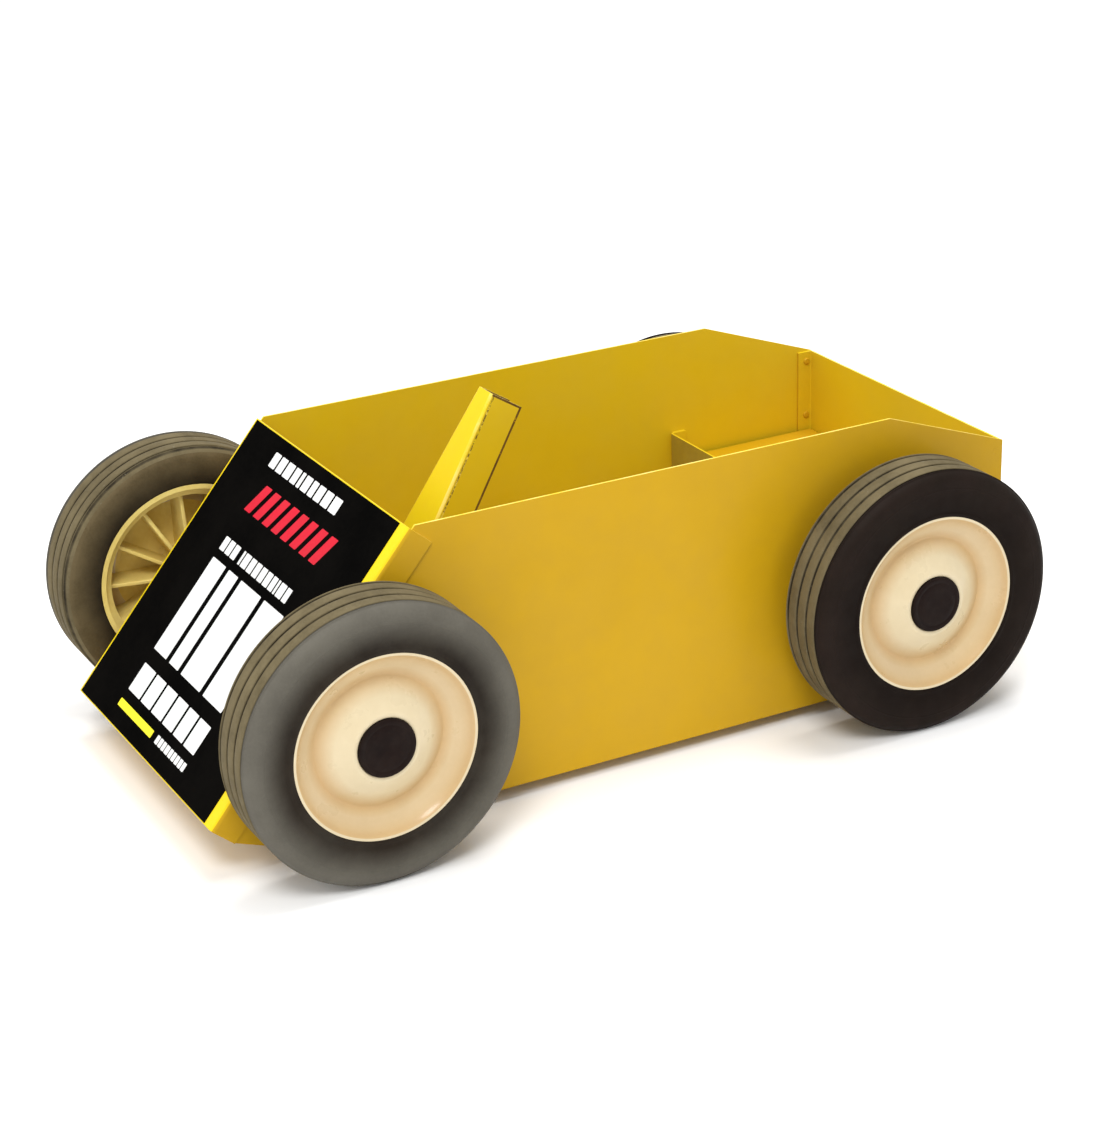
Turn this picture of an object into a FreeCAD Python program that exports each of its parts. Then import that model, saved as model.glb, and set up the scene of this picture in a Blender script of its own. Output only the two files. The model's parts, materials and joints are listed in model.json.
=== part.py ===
"""Line striping machine: a four-wheeled sheet steel box that carries and sprays an inverted marking can.

Millimetres. +Z is up, the leaning front plate faces -Y, and the origin is on the ground under the
middle of the machine. Left and right are those of the operator who walks behind it, so left is +X.
"""
import FreeCAD, Part
import math
import os
from FreeCAD import Vector

# ---- Sheet metal
SHEET = 1.6
LAP = 0.05                    # clearance between lapped sheets
BEND = 2.6                    # outside radius of an ordinary bend
FLANGE = 14.0                 # width of the joining flanges

# ---- Body
BODY_LENGTH = 654.0
BODY_WIDTH = 260.8            # over the side panels
SIDE_TOP = 224.0
GROUND_GAP = 9.0
NOSE_SETBACK = 158.0          # the front plate's top edge lies this far behind its bottom edge
NOSE_BOTTOM = 38.5
NOSE_BEND = 4.0
WRAP_WIDTH = 22.0             # front plate's flanges over the side panels
RAMP_LENGTH = 41.0            # sloped run of the underside behind the front plate
TAIL_SLOPE = 103.5
TAIL_TOP = 187.0
PARTITION_LEAD = 30.6         # the partition's front face ahead of the rear axle
PARTITION_TOP = 141.5
FLOOR_LIP = 20.0              # floor pan's flange behind the front plate
LABEL_THICK = 0.4
LABEL_MARGIN_LEFT = 12.2
LABEL_MARGIN_RIGHT = 5.3
LABEL_MARGIN_ENDS = 1.0

# ---- Wheels and axles
WHEEL_RADIUS = 101.6
FRONT_AXLE_SETBACK = 103.9    # behind the front plate's bottom edge
WHEEL_GAP = 18.0              # from a side panel to the tyre
TYRE_WIDTH = 50.75
TYRE_SHOULDER = 8.0
TREAD_GROOVES = 4
GROOVE_WIDTH = 2.6
GROOVE_DEPTH = 1.6
RIM_RADIUS = 67.0
INNER_RIM_RADIUS = 73.0
RIM_INSET = 1.4               # from the tyre's outer plane to the rim's lip
RIM_WALL = 3.8
INNER_LIP_WIDTH = 3.0         # flat run of the rim's inner lip
BEAD_GROOVE = 1.6             # depth of the rim's groove that the tyre's bead fills
WEB_THICK = 3.5
DISH_DEPTH = 13.0             # from the rim's lip to the bottom of the dish
DISH_OUTER_RADIUS = 49.6
DISH_INNER_RADIUS = 45.6
RIM_LIP = 2.4                 # width of the lip round the dish
BOSS_INSET = 0.6              # from the rim's lip to the boss's face
BOSS_RIM = 2.5                # width of the boss's face round the cap
EASED_EDGE = 1.0
AXLE_RADIUS = 6.35
RUNNING_GAP = 0.05            # radial clearance of a turning fit
LOOSE_GAP = 0.1               # radial clearance of a fixed rod in a sheet
SIDE_PLAY = 0.3               # along an axle or a pin
SEAT_GAP = 0.02               # radial clearance of a seated fit
BUSHING_WALL = 1.65
BOSS_RADIUS = 15.0
BOSS_OVERHANG = 2.0           # the hub's boss past the tyre's inner plane
RIB_COUNT = 12
RIB_THICK = 3.0
CAP_RADIUS = 21.0
CAP_WALL = 1.6
CAP_DEPTH = 11.0
CAP_PROUD = 0.25              # past the tyre's outer plane
SPACER_RADIUS = 10.0
WASHER_RADIUS = 11.0
WASHER_THICK = 1.6
PUSH_NUT_RADIUS = 10.0
PUSH_NUT_THICK = 4.0
AXLE_STUB = 1.2               # axle past the push nut

# ---- Handle channel
CHANNEL_LEAN = 32.3           # degrees from vertical, towards the operator
CHANNEL_FOOT_SETBACK = 129.3  # its front face at the base plate, behind the front plate's bottom edge
CHANNEL_LENGTH = 291.0
CHANNEL_TOP_WIDTH = 20.0
CHANNEL_FOOT_WIDTH = 72.0
CHANNEL_DEPTH = 29.0
HANDLE_BOLT_RADIUS = 4.25
HANDLE_BOLT_LOW = 60.0        # along the channel from its foot
HANDLE_BOLT_HIGH = 130.0
BASE_THICK = 3.0
BASE_BORDER = 15.0

# ---- Rivets
RIVET_RADIUS = 2.4
RIVET_HEAD_RADIUS = 4.0
RIVET_HEAD_HEIGHT = 1.5
RIVET_CROWN_RADIUS = 1.05
SMALL_HEAD_RADIUS = 2.8
RIVET_INSET = 6.2             # from the edge of a panel
BACK_RIVET_TOP = 8.0          # below the back panel's top edge
BACK_RIVET_PITCH = 47.0
BACK_RIVET_COUNT = 4
PARTITION_RIVET_COUNT = 3
SHELF_RIVET_COUNT = 4

# ---- Spray gear
SHELF_RISE = 10.05            # the shelf's underside above the rear axle
CAN_RADIUS = 33.0
CAN_GAP = 0.5
NECK_RADIUS = 25.0
COLLAR_HEIGHT = 20.0
COLLAR_FLANGE = 11.0
COLLAR_GAP = 3.92             # from the collar's flange to the rear axle and to the back panel
LEVER_DROP = 12.25            # the lever's arm under the rear axle
PIVOT_SETBACK = 14.0          # behind the partition
PIN_RADIUS = 3.0
PIN_HEAD_RADIUS = 5.0
PIN_HEAD_THICK = 1.5
PIN_STUB = 2.5
LEVER_THICK = 3.0
LEVER_HALF_HEIGHT = 7.0
LEVER_ARM_UP = 24.0
LEVER_ARM_HALF_WIDTH = 5.0
CABLE_HOLE_RADIUS = 2.0
FORK_LENGTH = 36.0
FORK_HALF_WIDTH = 16.0
FORK_SLOT_RADIUS = 8.0
EAR_SPACING = 18.0            # between the bracket's ears
BRACKET_PLATE_WIDTH = 44.0
BRACKET_PLATE_HEIGHT = 34.0
SPRING_WIRE = 0.6
SPRING_COIL_RADIUS = 5.0
SPRING_PITCH = 1.5
SPRING_TURNS = 3
SPRING_LEG = 10.0
CABLE_PORT_RADIUS = 4.0

# ---- Places that follow from the sizes
FRONT_Y = -BODY_LENGTH / 2
BACK_Y = BODY_LENGTH / 2
SIDE_X = BODY_WIDTH / 2
INNER_X = SIDE_X - SHEET
FRONT_AXLE_Y = FRONT_Y + FRONT_AXLE_SETBACK
BACK_INNER_Y = BACK_Y - SHEET
COLLAR_REACH = CAN_RADIUS + CAN_GAP + SHEET + COLLAR_FLANGE
CAN_Y = BACK_INNER_Y - COLLAR_GAP - COLLAR_REACH
REAR_AXLE_Y = CAN_Y - COLLAR_REACH - COLLAR_GAP - AXLE_RADIUS
PARTITION_Y = REAR_AXLE_Y - PARTITION_LEAD
PARTITION_REAR_Y = PARTITION_Y + SHEET
SHELF_TOP = WHEEL_RADIUS + AXLE_RADIUS + SHELF_RISE + SHEET
FLOOR_TOP = GROUND_GAP + SHEET
BASE_TOP = FLOOR_TOP + LAP + BASE_THICK
PIVOT_Y = PARTITION_REAR_Y + PIVOT_SETBACK
PIVOT_HEIGHT = WHEEL_RADIUS - AXLE_RADIUS - LEVER_DROP - LEVER_HALF_HEIGHT
PLATE_HEIGHT = SIDE_TOP - NOSE_BOTTOM
PLATE_LENGTH = math.hypot(NOSE_SETBACK, PLATE_HEIGHT)
PLATE_UP = Vector(0, NOSE_SETBACK / PLATE_LENGTH, PLATE_HEIGHT / PLATE_LENGTH)
PLATE_IN = Vector(0, PLATE_UP.z, -PLATE_UP.y)
PLATE_FOOT = Vector(0, FRONT_Y, NOSE_BOTTOM)
WHEEL_X = SIDE_X + WHEEL_GAP
HUB_FACE = TYRE_WIDTH - RIM_INSET
CAP_SEAT = TYRE_WIDTH + CAP_PROUD - CAP_DEPTH
BORE_RADIUS = AXLE_RADIUS + RUNNING_GAP + BUSHING_WALL
AXLE_END_X = WHEEL_X + CAP_SEAT + SIDE_PLAY + WASHER_THICK + PUSH_NUT_THICK + AXLE_STUB
WHEEL_SITES = {
    "front_left": (1, FRONT_AXLE_Y),
    "front_right": (-1, FRONT_AXLE_Y),
    "rear_left": (1, REAR_AXLE_Y),
    "rear_right": (-1, REAR_AXLE_Y),
}

X = Vector(1, 0, 0)
Y = Vector(0, 1, 0)
Z = Vector(0, 0, 1)


# ---- Shapes that several pieces share
def prism(points, along):
    """A closed outline of points, drawn out along a vector."""
    return Part.Face(Part.makePolygon(points + points[:1])).extrude(along)


def yz_prism(outline, x_low, x_high):
    """An outline of (y, z) pairs, from x_low to x_high."""
    return prism([Vector(x_low, y, z) for y, z in outline], X * (x_high - x_low))


def block(x_low, x_high, y_low, y_high, z_low, z_high):
    return Part.makeBox(x_high - x_low, y_high - y_low, z_high - z_low, Vector(x_low, y_low, z_low))


def rod(radius, start, end):
    along = end - start
    return Part.makeCylinder(radius, along.Length, start, along)


def tube(outer, inner, start, end):
    return rod(outer, start, end).cut(rod(inner, start, end))


def drilled(shape, radius, centres, axis, reach):
    """The shape with holes of one radius through its wall at each centre, reach to either side."""
    for centre in centres:
        shape = shape.cut(rod(radius, centre - axis * reach, centre + axis * reach))
    return shape


def offset_line(points, distance):
    """A bent line of (y, z) pairs moved sideways to its left, with mitred corners."""
    moved = []
    for i, (y, z) in enumerate(points):
        normals = []
        for a, b in ((i - 1, i), (i, i + 1)):
            if a >= 0 and b < len(points):
                dy = points[b][0] - points[a][0]
                dz = points[b][1] - points[a][1]
                run = math.hypot(dy, dz)
                normals.append((-dz / run, dy / run))
        ny = sum(n[0] for n in normals)
        nz = sum(n[1] for n in normals)
        scale = distance * len(normals) / (ny * ny + nz * nz)
        moved.append((y + ny * scale, z + nz * scale))
    return moved


def strip(points, thick, x_low, x_high):
    """A bent strip that follows a line of (y, z) pairs, thick to its left."""
    return yz_prism(points + offset_line(points, thick)[::-1], x_low, x_high)


def bent_channel(foot, across, inward, along, width, depth, bend):
    """A sheet with a flange bent inward along each side, drawn out from its foot."""
    half = width / 2

    def at(a, b):
        return foot + across * a + inward * b

    def corner(side, radius):
        """The two ends and the middle of one bend's arc."""
        centre = at(side * (half - bend), bend)
        middle = (across * side - inward) * (radius / math.sqrt(2))
        return centre + across * (side * radius), centre + middle, centre - inward * radius

    def bend_edge(side, radius, from_flange):
        first, middle, last = corner(side, radius)
        if from_flange:
            return Part.Arc(first, middle, last).toShape()
        return Part.Arc(last, middle, first).toShape()

    inner = bend - SHEET
    outer_left, _, outer_left_web = corner(-1, bend)
    outer_right, _, outer_right_web = corner(1, bend)
    inner_left, _, inner_left_web = corner(-1, inner)
    inner_right, _, inner_right_web = corner(1, inner)
    edges = [
        Part.makeLine(at(-half, depth), outer_left),
        bend_edge(-1, bend, True),
        Part.makeLine(outer_left_web, outer_right_web),
        bend_edge(1, bend, False),
        Part.makeLine(outer_right, at(half, depth)),
        Part.makeLine(at(half, depth), at(half - SHEET, depth)),
        Part.makeLine(at(half - SHEET, depth), inner_right),
        bend_edge(1, inner, True),
        Part.makeLine(inner_right_web, inner_left_web),
        bend_edge(-1, inner, False),
        Part.makeLine(inner_left, at(-half + SHEET, depth)),
        Part.makeLine(at(-half + SHEET, depth), at(-half, depth)),
    ]
    return Part.Face(Part.Wire(edges)).extrude(along)


def rivet(head_seat, direction, grip, head_radius):
    """A rivet whose domed head sits at head_seat and whose flush shank runs grip along direction."""
    shank = rod(RIVET_RADIUS - LAP, head_seat, head_seat + direction * grip)
    head = rod(head_radius, head_seat - direction * RIVET_HEAD_HEIGHT, head_seat)
    crown = [e for e in head.Edges if (e.CenterOfMass - head_seat).Length > RIVET_HEAD_HEIGHT / 2
             and e.Curve.TypeId == "Part::GeomCircle"]
    return head.makeFillet(RIVET_CROWN_RADIUS, crown).fuse(shank).removeSplitter()


def turned(outline, grooves=()):
    """A solid of revolution about X from (x, radius) pairs, with optional ring cuts."""
    points = [Vector(x, 0, r) for x, r in outline]
    solid = Part.Face(Part.makePolygon(points + points[:1])).revolve(Vector(0, 0, 0), X, 360)
    for low, high, inner, outer in grooves:
        solid = solid.cut(tube(outer, inner, X * low, X * high))
    return solid


# ---- Rivet places
def back_rivets(side):
    top = TAIL_TOP - BACK_RIVET_TOP
    return [Vector(side * INNER_X, BACK_Y - RIVET_INSET, top - i * BACK_RIVET_PITCH)
            for i in range(BACK_RIVET_COUNT)]


def partition_rivets(side):
    low = FLOOR_TOP + 2 * RIVET_INSET + FLANGE
    step = (PARTITION_TOP - 2 * RIVET_INSET - low) / (PARTITION_RIVET_COUNT - 1)
    y = PARTITION_REAR_Y + FLANGE - RIVET_INSET
    return [Vector(side * INNER_X, y, low + i * step) for i in range(PARTITION_RIVET_COUNT)]


def shelf_rivets(wall_y):
    """Along the shelf's turned-down flanges, on the wall at wall_y."""
    reach = INNER_X - 3 * FLANGE
    step = 2 * reach / (SHELF_RIVET_COUNT - 1)
    z = SHELF_TOP - FLANGE + RIVET_INSET
    return [Vector(-reach + i * step, wall_y, z) for i in range(SHELF_RIVET_COUNT)]


def channel_foot_rear():
    return FRONT_Y + CHANNEL_FOOT_SETBACK + CHANNEL_DEPTH / math.cos(math.radians(CHANNEL_LEAN))


def base_outline():
    """The base plate's x reach and its y limits."""
    front = FRONT_Y + CHANNEL_FOOT_SETBACK - BASE_BORDER
    return CHANNEL_FOOT_WIDTH / 2 + BASE_BORDER, front, channel_foot_rear() + BASE_BORDER


def base_rivets():
    reach, front, rear = base_outline()
    inset = BASE_BORDER / 2
    columns = (-reach + inset, reach - inset)
    rows = (front + inset, rear - inset)
    return [Vector(x, y, BASE_TOP) for x in columns for y in rows]


def bracket_rivets():
    reach = BRACKET_PLATE_WIDTH / 2 - RIVET_INSET
    rise = BRACKET_PLATE_HEIGHT / 2 - RIVET_INSET
    y = PARTITION_REAR_Y + LAP + SHEET
    return [Vector(x, y, PIVOT_HEIGHT + z) for x in (-reach, reach) for z in (-rise, rise)]


def collar_rivets():
    ring = COLLAR_REACH - COLLAR_FLANGE / 2
    return [Vector(ring * math.cos(a), CAN_Y + ring * math.sin(a), SHELF_TOP + LAP + SHEET)
            for a in (math.pi / 4 + i * math.pi / 2 for i in range(4))]


# ---- Body
def nose_corner():
    """Where the front plate's flanges end at the bottom and the ramp of the underside begins."""
    point = PLATE_FOOT + PLATE_IN * WRAP_WIDTH
    return point.y, point.z


def ramp_foot():
    return nose_corner()[0] + RAMP_LENGTH, GROUND_GAP


def side_panel(side):
    land = PLATE_IN * (NOSE_BEND + LAP)
    low = PLATE_FOOT + land
    top_run = (SIDE_TOP - low.z) / PLATE_UP.z
    outline = [
        ramp_foot(),
        nose_corner(),
        (low.y, low.z),
        (low.y + PLATE_UP.y * top_run, SIDE_TOP),
        (BACK_Y - TAIL_SLOPE, SIDE_TOP),
        (BACK_Y, TAIL_TOP),
        (BACK_Y, GROUND_GAP),
    ]
    x_low, x_high = sorted((side * INNER_X, side * SIDE_X))
    panel = yz_prism(outline, x_low, x_high)
    axles = [Vector(side * SIDE_X, y, WHEEL_RADIUS) for y in (FRONT_AXLE_Y, REAR_AXLE_Y)]
    panel = drilled(panel, AXLE_RADIUS + LOOSE_GAP, axles, X, FLANGE)
    return drilled(panel, RIVET_RADIUS, back_rivets(side) + partition_rivets(side), X, FLANGE)


def front_plate():
    width = BODY_WIDTH + 2 * (SHEET + LAP)
    return bent_channel(PLATE_FOOT, X, PLATE_IN, PLATE_UP * PLATE_LENGTH, width, WRAP_WIDTH, NOSE_BEND)


def front_label():
    edge = SIDE_X + SHEET
    right = -edge + LABEL_MARGIN_RIGHT
    left = edge - LABEL_MARGIN_LEFT
    low = PLATE_FOOT + PLATE_UP * LABEL_MARGIN_ENDS
    high = PLATE_FOOT + PLATE_UP * (PLATE_LENGTH - LABEL_MARGIN_ENDS)
    corners = [low + X * right, low + X * left, high + X * left, high + X * right]
    return prism(corners, PLATE_IN * -LABEL_THICK)


def back_panel():
    foot = Vector(0, BACK_Y, GROUND_GAP)
    panel = bent_channel(foot, X, -Y, Z * (TAIL_TOP - GROUND_GAP), 2 * (INNER_X - LAP), FLANGE, BEND)
    panel = drilled(panel, RIVET_RADIUS, back_rivets(-1) + back_rivets(1), X, FLANGE / 2)
    return drilled(panel, RIVET_RADIUS, shelf_rivets(BACK_INNER_Y), Y, FLANGE / 2)


def partition():
    foot = Vector(0, PARTITION_Y, FLOOR_TOP + LAP)
    shim = INNER_X - LAP - SHEET - LAP
    wall = bent_channel(foot, X, Y, Z * (PARTITION_TOP - foot.z), 2 * shim, FLANGE, BEND)
    for side in (-1, 1):
        x_low, x_high = sorted((side * shim, side * (INNER_X - LAP)))
        pad_low = GROUND_GAP + FLANGE + LAP
        wall = wall.fuse(block(x_low, x_high, PARTITION_Y + BEND, PARTITION_REAR_Y + FLANGE - SHEET,
                               pad_low, PARTITION_TOP))
    wall = wall.removeSplitter()
    wall = drilled(wall, RIVET_RADIUS, partition_rivets(-1) + partition_rivets(1), X, FLANGE / 2)
    wall = drilled(wall, RIVET_RADIUS, shelf_rivets(PARTITION_Y) + bracket_rivets(), Y, FLANGE / 2)
    port = Vector(0, PARTITION_Y, PIVOT_HEIGHT + LEVER_ARM_UP)
    return drilled(wall, CABLE_PORT_RADIUS, [port], Y, FLANGE / 2)


def floor_pan():
    behind = PLATE_FOOT + PLATE_IN * (SHEET + LAP)
    lip = behind + PLATE_UP * FLOOR_LIP
    rear = (PARTITION_REAR_Y + FLANGE, GROUND_GAP)
    line = [(lip.y, lip.z), (behind.y, behind.z), nose_corner(), ramp_foot(), rear]
    reach = INNER_X - LAP
    pan = strip(line, SHEET, NOSE_BEND - reach, reach - NOSE_BEND)
    pan = pan.fuse(strip(line[2:], SHEET, -reach, reach))
    for side in (-1, 1):
        x_low, x_high = sorted((side * reach, side * (reach - SHEET)))
        pan = pan.fuse(strip(line[2:], FLANGE, x_low, x_high))
    pan = pan.removeSplitter()
    return drilled(pan, RIVET_RADIUS, base_rivets(), Z, FLANGE)


def handle_channel():
    """A tapered channel, open to the rear, that leans back from its base plate."""
    lean = math.radians(CHANNEL_LEAN)
    up = Vector(0, math.sin(lean), math.cos(lean))
    inward = Vector(0, math.cos(lean), -math.sin(lean))
    foot = Vector(0, FRONT_Y + CHANNEL_FOOT_SETBACK, BASE_TOP)
    taper = (CHANNEL_FOOT_WIDTH - CHANNEL_TOP_WIDTH) / CHANNEL_LENGTH
    run_out = CHANNEL_DEPTH * math.tan(lean)

    def wedge(wall, depth_low, depth_high):
        low = foot - up * run_out + inward * depth_low
        high = foot + up * CHANNEL_LENGTH + inward * depth_low
        wide = (CHANNEL_FOOT_WIDTH + run_out * taper) / 2 - wall
        narrow = CHANNEL_TOP_WIDTH / 2 - wall
        corners = [low - X * wide, low + X * wide, high + X * narrow, high - X * narrow]
        return prism(corners, inward * (depth_high - depth_low))

    shell = wedge(0, 0, CHANNEL_DEPTH)
    long_edges = [e for e in shell.Edges if e.Length > CHANNEL_LENGTH
                  and abs((e.CenterOfMass - foot).dot(inward)) < SHEET]
    shell = shell.makeFillet(BEND, long_edges)
    hollow = wedge(SHEET, SHEET, 2 * CHANNEL_DEPTH)
    reach = CHANNEL_LENGTH
    below = block(-reach, reach, foot.y - reach, foot.y + reach, BASE_TOP - reach, BASE_TOP)
    channel = shell.cut(hollow).cut(below)
    middle = foot + inward * (CHANNEL_DEPTH + SHEET) / 2
    bolts = [middle + up * s for s in (HANDLE_BOLT_LOW, HANDLE_BOLT_HIGH)]
    return drilled(channel, HANDLE_BOLT_RADIUS, bolts, X, CHANNEL_FOOT_WIDTH)


def handle_base_plate():
    reach, front, rear = base_outline()
    plate = block(-reach, reach, front, rear, FLOOR_TOP + LAP, BASE_TOP)
    return drilled(plate, RIVET_RADIUS, base_rivets(), Z, FLANGE)


# ---- Wheels and axles
def axle(y):
    return rod(AXLE_RADIUS, Vector(-AXLE_END_X, y, WHEEL_RADIUS), Vector(AXLE_END_X, y, WHEEL_RADIUS))


def placed_wheel_piece(piece, side, y):
    """Turns a piece made about X, with x = 0 at the tyre's inner plane, into its place on one side."""
    piece = piece.copy()
    piece.translate(X * WHEEL_X)
    if side < 0:
        piece = piece.mirror(Vector(0, 0, 0), X)
    piece.translate(Vector(0, y, WHEEL_RADIUS))
    return piece


def at_every_wheel(make):
    return Part.makeCompound([placed_wheel_piece(make(), side, y) for side, y in WHEEL_SITES.values()])


def tyre_seat(gap):
    """The (x, radius) line along which the tyre sits on the rim, from the inner side to the outer."""
    low = TYRE_WIDTH / 4
    high = TYRE_WIDTH - low
    return [
        (0.0, INNER_RIM_RADIUS + gap),
        (INNER_LIP_WIDTH, INNER_RIM_RADIUS + gap),
        (2 * INNER_LIP_WIDTH, RIM_RADIUS + gap),
        (low, RIM_RADIUS + gap),
        (low + BEAD_GROOVE, RIM_RADIUS - BEAD_GROOVE + gap),
        (high - BEAD_GROOVE, RIM_RADIUS - BEAD_GROOVE + gap),
        (high, RIM_RADIUS + gap),
        (HUB_FACE, RIM_RADIUS + gap),
    ]


def tyre():
    shoulder = TYRE_SHOULDER
    seat = tyre_seat(SEAT_GAP)
    half_turn = math.sqrt(0.5)
    arc_low = Part.Arc(
        Vector(TYRE_WIDTH, 0, WHEEL_RADIUS - shoulder),
        Vector(TYRE_WIDTH - shoulder * (1 - half_turn), 0, WHEEL_RADIUS - shoulder * (1 - half_turn)),
        Vector(TYRE_WIDTH - shoulder, 0, WHEEL_RADIUS)).toShape()
    arc_high = Part.Arc(
        Vector(shoulder, 0, WHEEL_RADIUS),
        Vector(shoulder * (1 - half_turn), 0, WHEEL_RADIUS - shoulder * (1 - half_turn)),
        Vector(0, 0, WHEEL_RADIUS - shoulder)).toShape()
    line = [Vector(x, 0, r) for x, r in seat] + [Vector(TYRE_WIDTH, 0, RIM_RADIUS + RIM_INSET)]
    edges = [Part.makeLine(a, b) for a, b in zip(line, line[1:])]
    edges.append(Part.makeLine(line[-1], Vector(TYRE_WIDTH, 0, WHEEL_RADIUS - shoulder)))
    edges.append(arc_low)
    edges.append(Part.makeLine(Vector(TYRE_WIDTH - shoulder, 0, WHEEL_RADIUS),
                               Vector(shoulder, 0, WHEEL_RADIUS)))
    edges.append(arc_high)
    edges.append(Part.makeLine(Vector(0, 0, WHEEL_RADIUS - shoulder), line[0]))
    body = Part.Face(Part.Wire(edges)).revolve(Vector(0, 0, 0), X, 360)
    pitch = (TYRE_WIDTH - 2 * shoulder) / (TREAD_GROOVES - 1)
    for i in range(TREAD_GROOVES):
        middle = shoulder + i * pitch
        cut = tube(WHEEL_RADIUS + GROOVE_DEPTH, WHEEL_RADIUS - GROOVE_DEPTH,
                   X * (middle - GROOVE_WIDTH / 2), X * (middle + GROOVE_WIDTH / 2))
        body = body.cut(cut)
    return body


def hub():
    """A moulded hub: a rim, a dished web that rises again to the boss, and ribs behind the web."""
    dish = HUB_FACE - DISH_DEPTH
    web_back = dish - WEB_THICK
    boss_face = HUB_FACE - BOSS_INSET
    barrel = RIM_RADIUS - RIM_WALL
    front = [
        (HUB_FACE, RIM_RADIUS - RIM_LIP),
        (dish, DISH_OUTER_RADIUS),
        (dish, DISH_INNER_RADIUS),
        (boss_face - EASED_EDGE, CAP_RADIUS + BOSS_RIM + EASED_EDGE),
        (boss_face, CAP_RADIUS + BOSS_RIM),
        (boss_face, CAP_RADIUS),
        (CAP_SEAT, CAP_RADIUS),
        (CAP_SEAT, BORE_RADIUS),
    ]
    back = [
        (-BOSS_OVERHANG, BORE_RADIUS),
        (-BOSS_OVERHANG, BOSS_RADIUS),
        (web_back - EASED_EDGE, BOSS_RADIUS),
        (web_back, DISH_INNER_RADIUS),
        (web_back, DISH_OUTER_RADIUS + EASED_EDGE),
        (HUB_FACE - WEB_THICK - RIM_WALL, barrel),
        (WEB_THICK + INNER_LIP_WIDTH, barrel),
        (WEB_THICK, INNER_RIM_RADIUS - WEB_THICK),
        (0.0, INNER_RIM_RADIUS - WEB_THICK),
    ]
    body = turned(front + back + tyre_seat(0))
    root = BOSS_RADIUS - EASED_EDGE
    rib_face = web_back + WEB_THICK / 2
    rib_outline = [
        (BOSS_OVERHANG, root),
        (TYRE_WIDTH / 4, barrel + EASED_EDGE),
        (HUB_FACE - 2 * WEB_THICK + EASED_EDGE, barrel + EASED_EDGE),
        (rib_face, DISH_OUTER_RADIUS),
        (rib_face, root),
    ]
    points = [Vector(x, -RIB_THICK / 2, r) for x, r in rib_outline]
    rib = prism(points, Y * RIB_THICK)
    ribs = []
    for i in range(RIB_COUNT):
        turned_rib = rib.copy()
        turned_rib.rotate(Vector(0, 0, 0), X, 360.0 * i / RIB_COUNT)
        ribs.append(turned_rib)
    return body.fuse(ribs).removeSplitter()


def bushing():
    return tube(BORE_RADIUS - SEAT_GAP, AXLE_RADIUS + RUNNING_GAP, X * -BOSS_OVERHANG, X * CAP_SEAT)


def axle_cap():
    """A shallow cup pressed into the hub's boss over the axle's end."""
    radius = CAP_RADIUS - SEAT_GAP
    end = CAP_SEAT + CAP_DEPTH
    cup = rod(radius, X * (CAP_SEAT + LAP), X * end)
    face_edge = [e for e in cup.Edges
                 if abs(e.CenterOfMass.x - end) < LAP and e.Curve.TypeId == "Part::GeomCircle"]
    cup = cup.makeFillet(CAP_WALL, face_edge)
    return cup.cut(rod(radius - CAP_WALL, X * CAP_SEAT, X * (end - CAP_WALL)))


def axle_spacer():
    return tube(SPACER_RADIUS, AXLE_RADIUS + LOOSE_GAP, X * -WHEEL_GAP, X * (-BOSS_OVERHANG - SIDE_PLAY))


def axle_washer():
    seat = CAP_SEAT + SIDE_PLAY
    return tube(WASHER_RADIUS, AXLE_RADIUS + LOOSE_GAP, X * seat, X * (seat + WASHER_THICK))


def push_nut():
    seat = CAP_SEAT + SIDE_PLAY + WASHER_THICK
    return tube(PUSH_NUT_RADIUS, AXLE_RADIUS, X * seat, X * (seat + PUSH_NUT_THICK))


# ---- Spray gear
def can_shelf():
    """A shelf across the spray bay with a flange turned down at the partition and at the back."""
    low_y = PARTITION_REAR_Y + LAP
    high_y = BACK_INNER_Y - LAP
    reach = INNER_X - SHEET - BEND - 3 * LAP
    foot = Vector(-reach, (low_y + high_y) / 2, SHELF_TOP)
    shelf = bent_channel(foot, Y, -Z, X * (2 * reach), high_y - low_y, FLANGE, BEND)
    shelf = shelf.cut(rod(NECK_RADIUS, Vector(0, CAN_Y, 0), Vector(0, CAN_Y, 2 * SHELF_TOP)))
    shelf = drilled(shelf, RIVET_RADIUS, collar_rivets(), Z, FLANGE / 2)
    return drilled(shelf, RIVET_RADIUS, shelf_rivets(low_y) + shelf_rivets(high_y), Y, FLANGE / 2)


def can_collar():
    """A flanged ring on the shelf that holds the upturned can by its sides."""
    inner = CAN_RADIUS + CAN_GAP
    foot = Vector(0, CAN_Y, SHELF_TOP + LAP)
    ring = tube(inner + SHEET, inner, foot, foot + Z * COLLAR_HEIGHT)
    flange = tube(COLLAR_REACH, inner, foot, foot + Z * SHEET)
    collar = ring.fuse(flange).removeSplitter()
    return drilled(collar, RIVET_RADIUS, collar_rivets(), Z, FLANGE / 2)


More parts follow.
